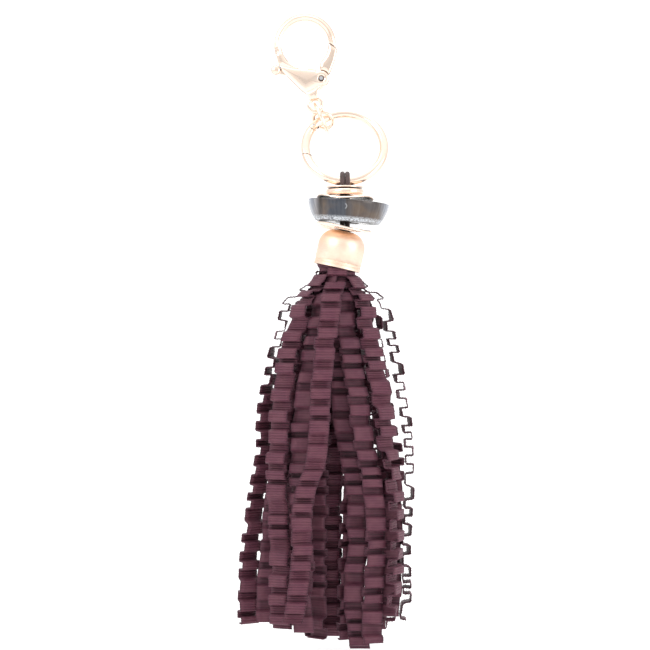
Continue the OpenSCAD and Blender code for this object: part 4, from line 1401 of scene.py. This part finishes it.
class CHARM_OT_stage(bpy.types.Operator):
    """Plain pale floor and backdrop, soft lights and the camera"""

    bl_idname = "charm.stage"
    bl_label = "Stage"

    def execute(self, context):
        s = context.scene.charm_stage
        material, tree, shader = blank_material("plain_floor")
        place = add(tree, "ShaderNodeTexCoord")
        paper = add(tree, "ShaderNodeTexNoise", Scale=4.0, Detail=2.0)
        tree.links.new(place.outputs["Object"], paper.inputs["Vector"])
        shade = [c * 0.985 for c in s.floor[:3]] + [1]
        pale = ranged(tree, paper.outputs["Fac"], 0.3, 0.7, 0.0, 1.0)
        join(tree, [(mixed(tree, pale, s.floor, shade), shader.inputs["Base Color"])])
        shader.inputs["Roughness"].default_value = 0.9
        shader.inputs["Specular IOR Level"].default_value = 0.1
        shader.inputs["Emission Color"].default_value = (1, 1, 1, 1)
        shader.inputs["Emission Strength"].default_value = 0.30
        floor_z, wide, back, bend = CAD_LOW.z - 0.004, 3.0, 1.5, 0.5
        profile = [(-3.0, floor_z)]
        for k in range(17):
            a = math.pi / 2 * k / 16
            profile.append((back - bend + bend * math.sin(a), floor_z + bend - bend * math.cos(a)))
        profile.append((back, 3.0))
        points = [(x, y, z) for y, z in profile for x in (-wide, wide)]
        faces = [(2 * i, 2 * i + 1, 2 * i + 3, 2 * i + 2) for i in range(len(profile) - 1)]
        mesh = bpy.data.meshes.new("floor")
        mesh.from_pydata(points, [], faces)
        floor = made_object("floor", mesh, material)

        world = bpy.data.worlds.new("studio")
        context.scene.world = world
        world.use_nodes = True
        wt = world.node_tree
        back_node = wt.nodes["Background"]
        coords = add(wt, "ShaderNodeTexCoord")
        split = add(wt, "ShaderNodeSeparateXYZ")
        wt.links.new(coords.outputs["Generated"], split.inputs[0])
        up = ranged(wt, split.outputs["Z"], -0.5, 0.9, 0.62, 1.2)
        ahead = ranged(wt, split.outputs["Y"], -1.0, -0.55, 0.80, 1.0)
        up = maths(wt, "MULTIPLY", up, ahead)
        tone = add(wt, "ShaderNodeCombineXYZ")
        for k in range(3):
            wt.links.new(up, tone.inputs[k])
        wt.links.new(tone.outputs[0], back_node.inputs["Color"])
        seen = wt.nodes.new("ShaderNodeLightPath")
        wt.links.new(ranged(wt, seen.outputs["Is Glossy Ray"], 0.0, 1.0, 0.60, 1.15),
                     back_node.inputs["Strength"])

        middle = Vector((0.0073, 0.0, -0.1026))
        lights = [
            ("key", (-0.55, -0.60, 0.35), 0.55, s.key),
            ("fill", (0.65, -0.45, 0.05), 0.45, s.key * 0.55),
            ("top", (0.0, -0.05, 0.75), 0.60, s.key * 0.6),
            ("wall", (0.0, 0.80, 1.05), 1.00, s.key * 1.6),
        ]
        for name, at, size, power in lights:
            lamp = bpy.data.lights.new(name, "AREA")
            lamp.energy = power
            lamp.shape = "SQUARE"
            lamp.size = size
            obj = link(bpy.data.objects.new(name, lamp))
            obj.location = at
            aim = middle if name != "wall" else Vector((0.0, 1.5, -0.1))
            obj.rotation_euler = (aim - Vector(at)).to_track_quat("-Z", "Y").to_euler()

        camera = bpy.data.cameras.new("camera")
        camera.lens = s.lens
        camera.sensor_width = 36.0
        camera.clip_start, camera.clip_end = 0.01, 20.0
        obj = link(bpy.data.objects.new("camera", camera))
        reach = 0.2366 * s.lens / 36.0
        obj.location = (middle.x, -reach - 0.004, middle.z)
        obj.rotation_euler = (math.radians(90), 0, 0)
        context.scene.camera = obj
        context.scene.view_settings.view_transform = "Standard"
        return {"FINISHED"}


class CHARM_PT_panel(bpy.types.Panel):
    """Buttons and settings of the charm"""

    bl_idname = "CHARM_PT_panel"
    bl_label = "Ribbon tassel charm"
    bl_space_type = "VIEW_3D"
    bl_region_type = "UI"
    bl_category = "Charm"

    def draw(self, context):
        layout = self.layout
        for operator in OPERATORS:
            layout.operator(operator.bl_idname)
        for label in SETTINGS:
            box = layout.box()
            box.label(text=label.replace("charm_", "").capitalize())
            group = getattr(context.scene, label)
            for name in group.__annotations__:
                box.prop(group, name)


SETTINGS = {
    "charm_metal": CHARM_PG_metal,
    "charm_ribbon": CHARM_PG_ribbon,
    "charm_cord": CHARM_PG_cord,
    "charm_stone": CHARM_PG_stone,
    "charm_stage": CHARM_PG_stage,
}
OPERATORS = [
    CHARM_OT_stage, CHARM_OT_cords, CHARM_OT_clasp, CHARM_OT_links, CHARM_OT_gate_ring,
    CHARM_OT_stack, CHARM_OT_stone, CHARM_OT_cap, CHARM_OT_tassel,
]
CLASSES = [*SETTINGS.values(), *OPERATORS, CHARM_PT_panel]


def register():
    for c in CLASSES:
        bpy.utils.register_class(c)
    for label, group in SETTINGS.items():
        setattr(bpy.types.Scene, label, PointerProperty(type=group))


def unregister():
    for label in SETTINGS:
        delattr(bpy.types.Scene, label)
    for c in reversed(CLASSES):
        bpy.utils.unregister_class(c)


def main():
    register()
    for o in list(bpy.data.objects):
        if o.type in ("CAMERA", "LIGHT") or o.name == "Cube":
            bpy.data.objects.remove(o)
    bpy.ops.charm.stage()
    bpy.ops.charm.cords()
    bpy.ops.charm.clasp()
    bpy.ops.charm.links()
    bpy.ops.charm.gate_ring()
    bpy.ops.charm.stack()
    bpy.ops.charm.stone()
    bpy.ops.charm.cap()
    bpy.ops.charm.tassel()


if __name__ == "__main__":
    main()
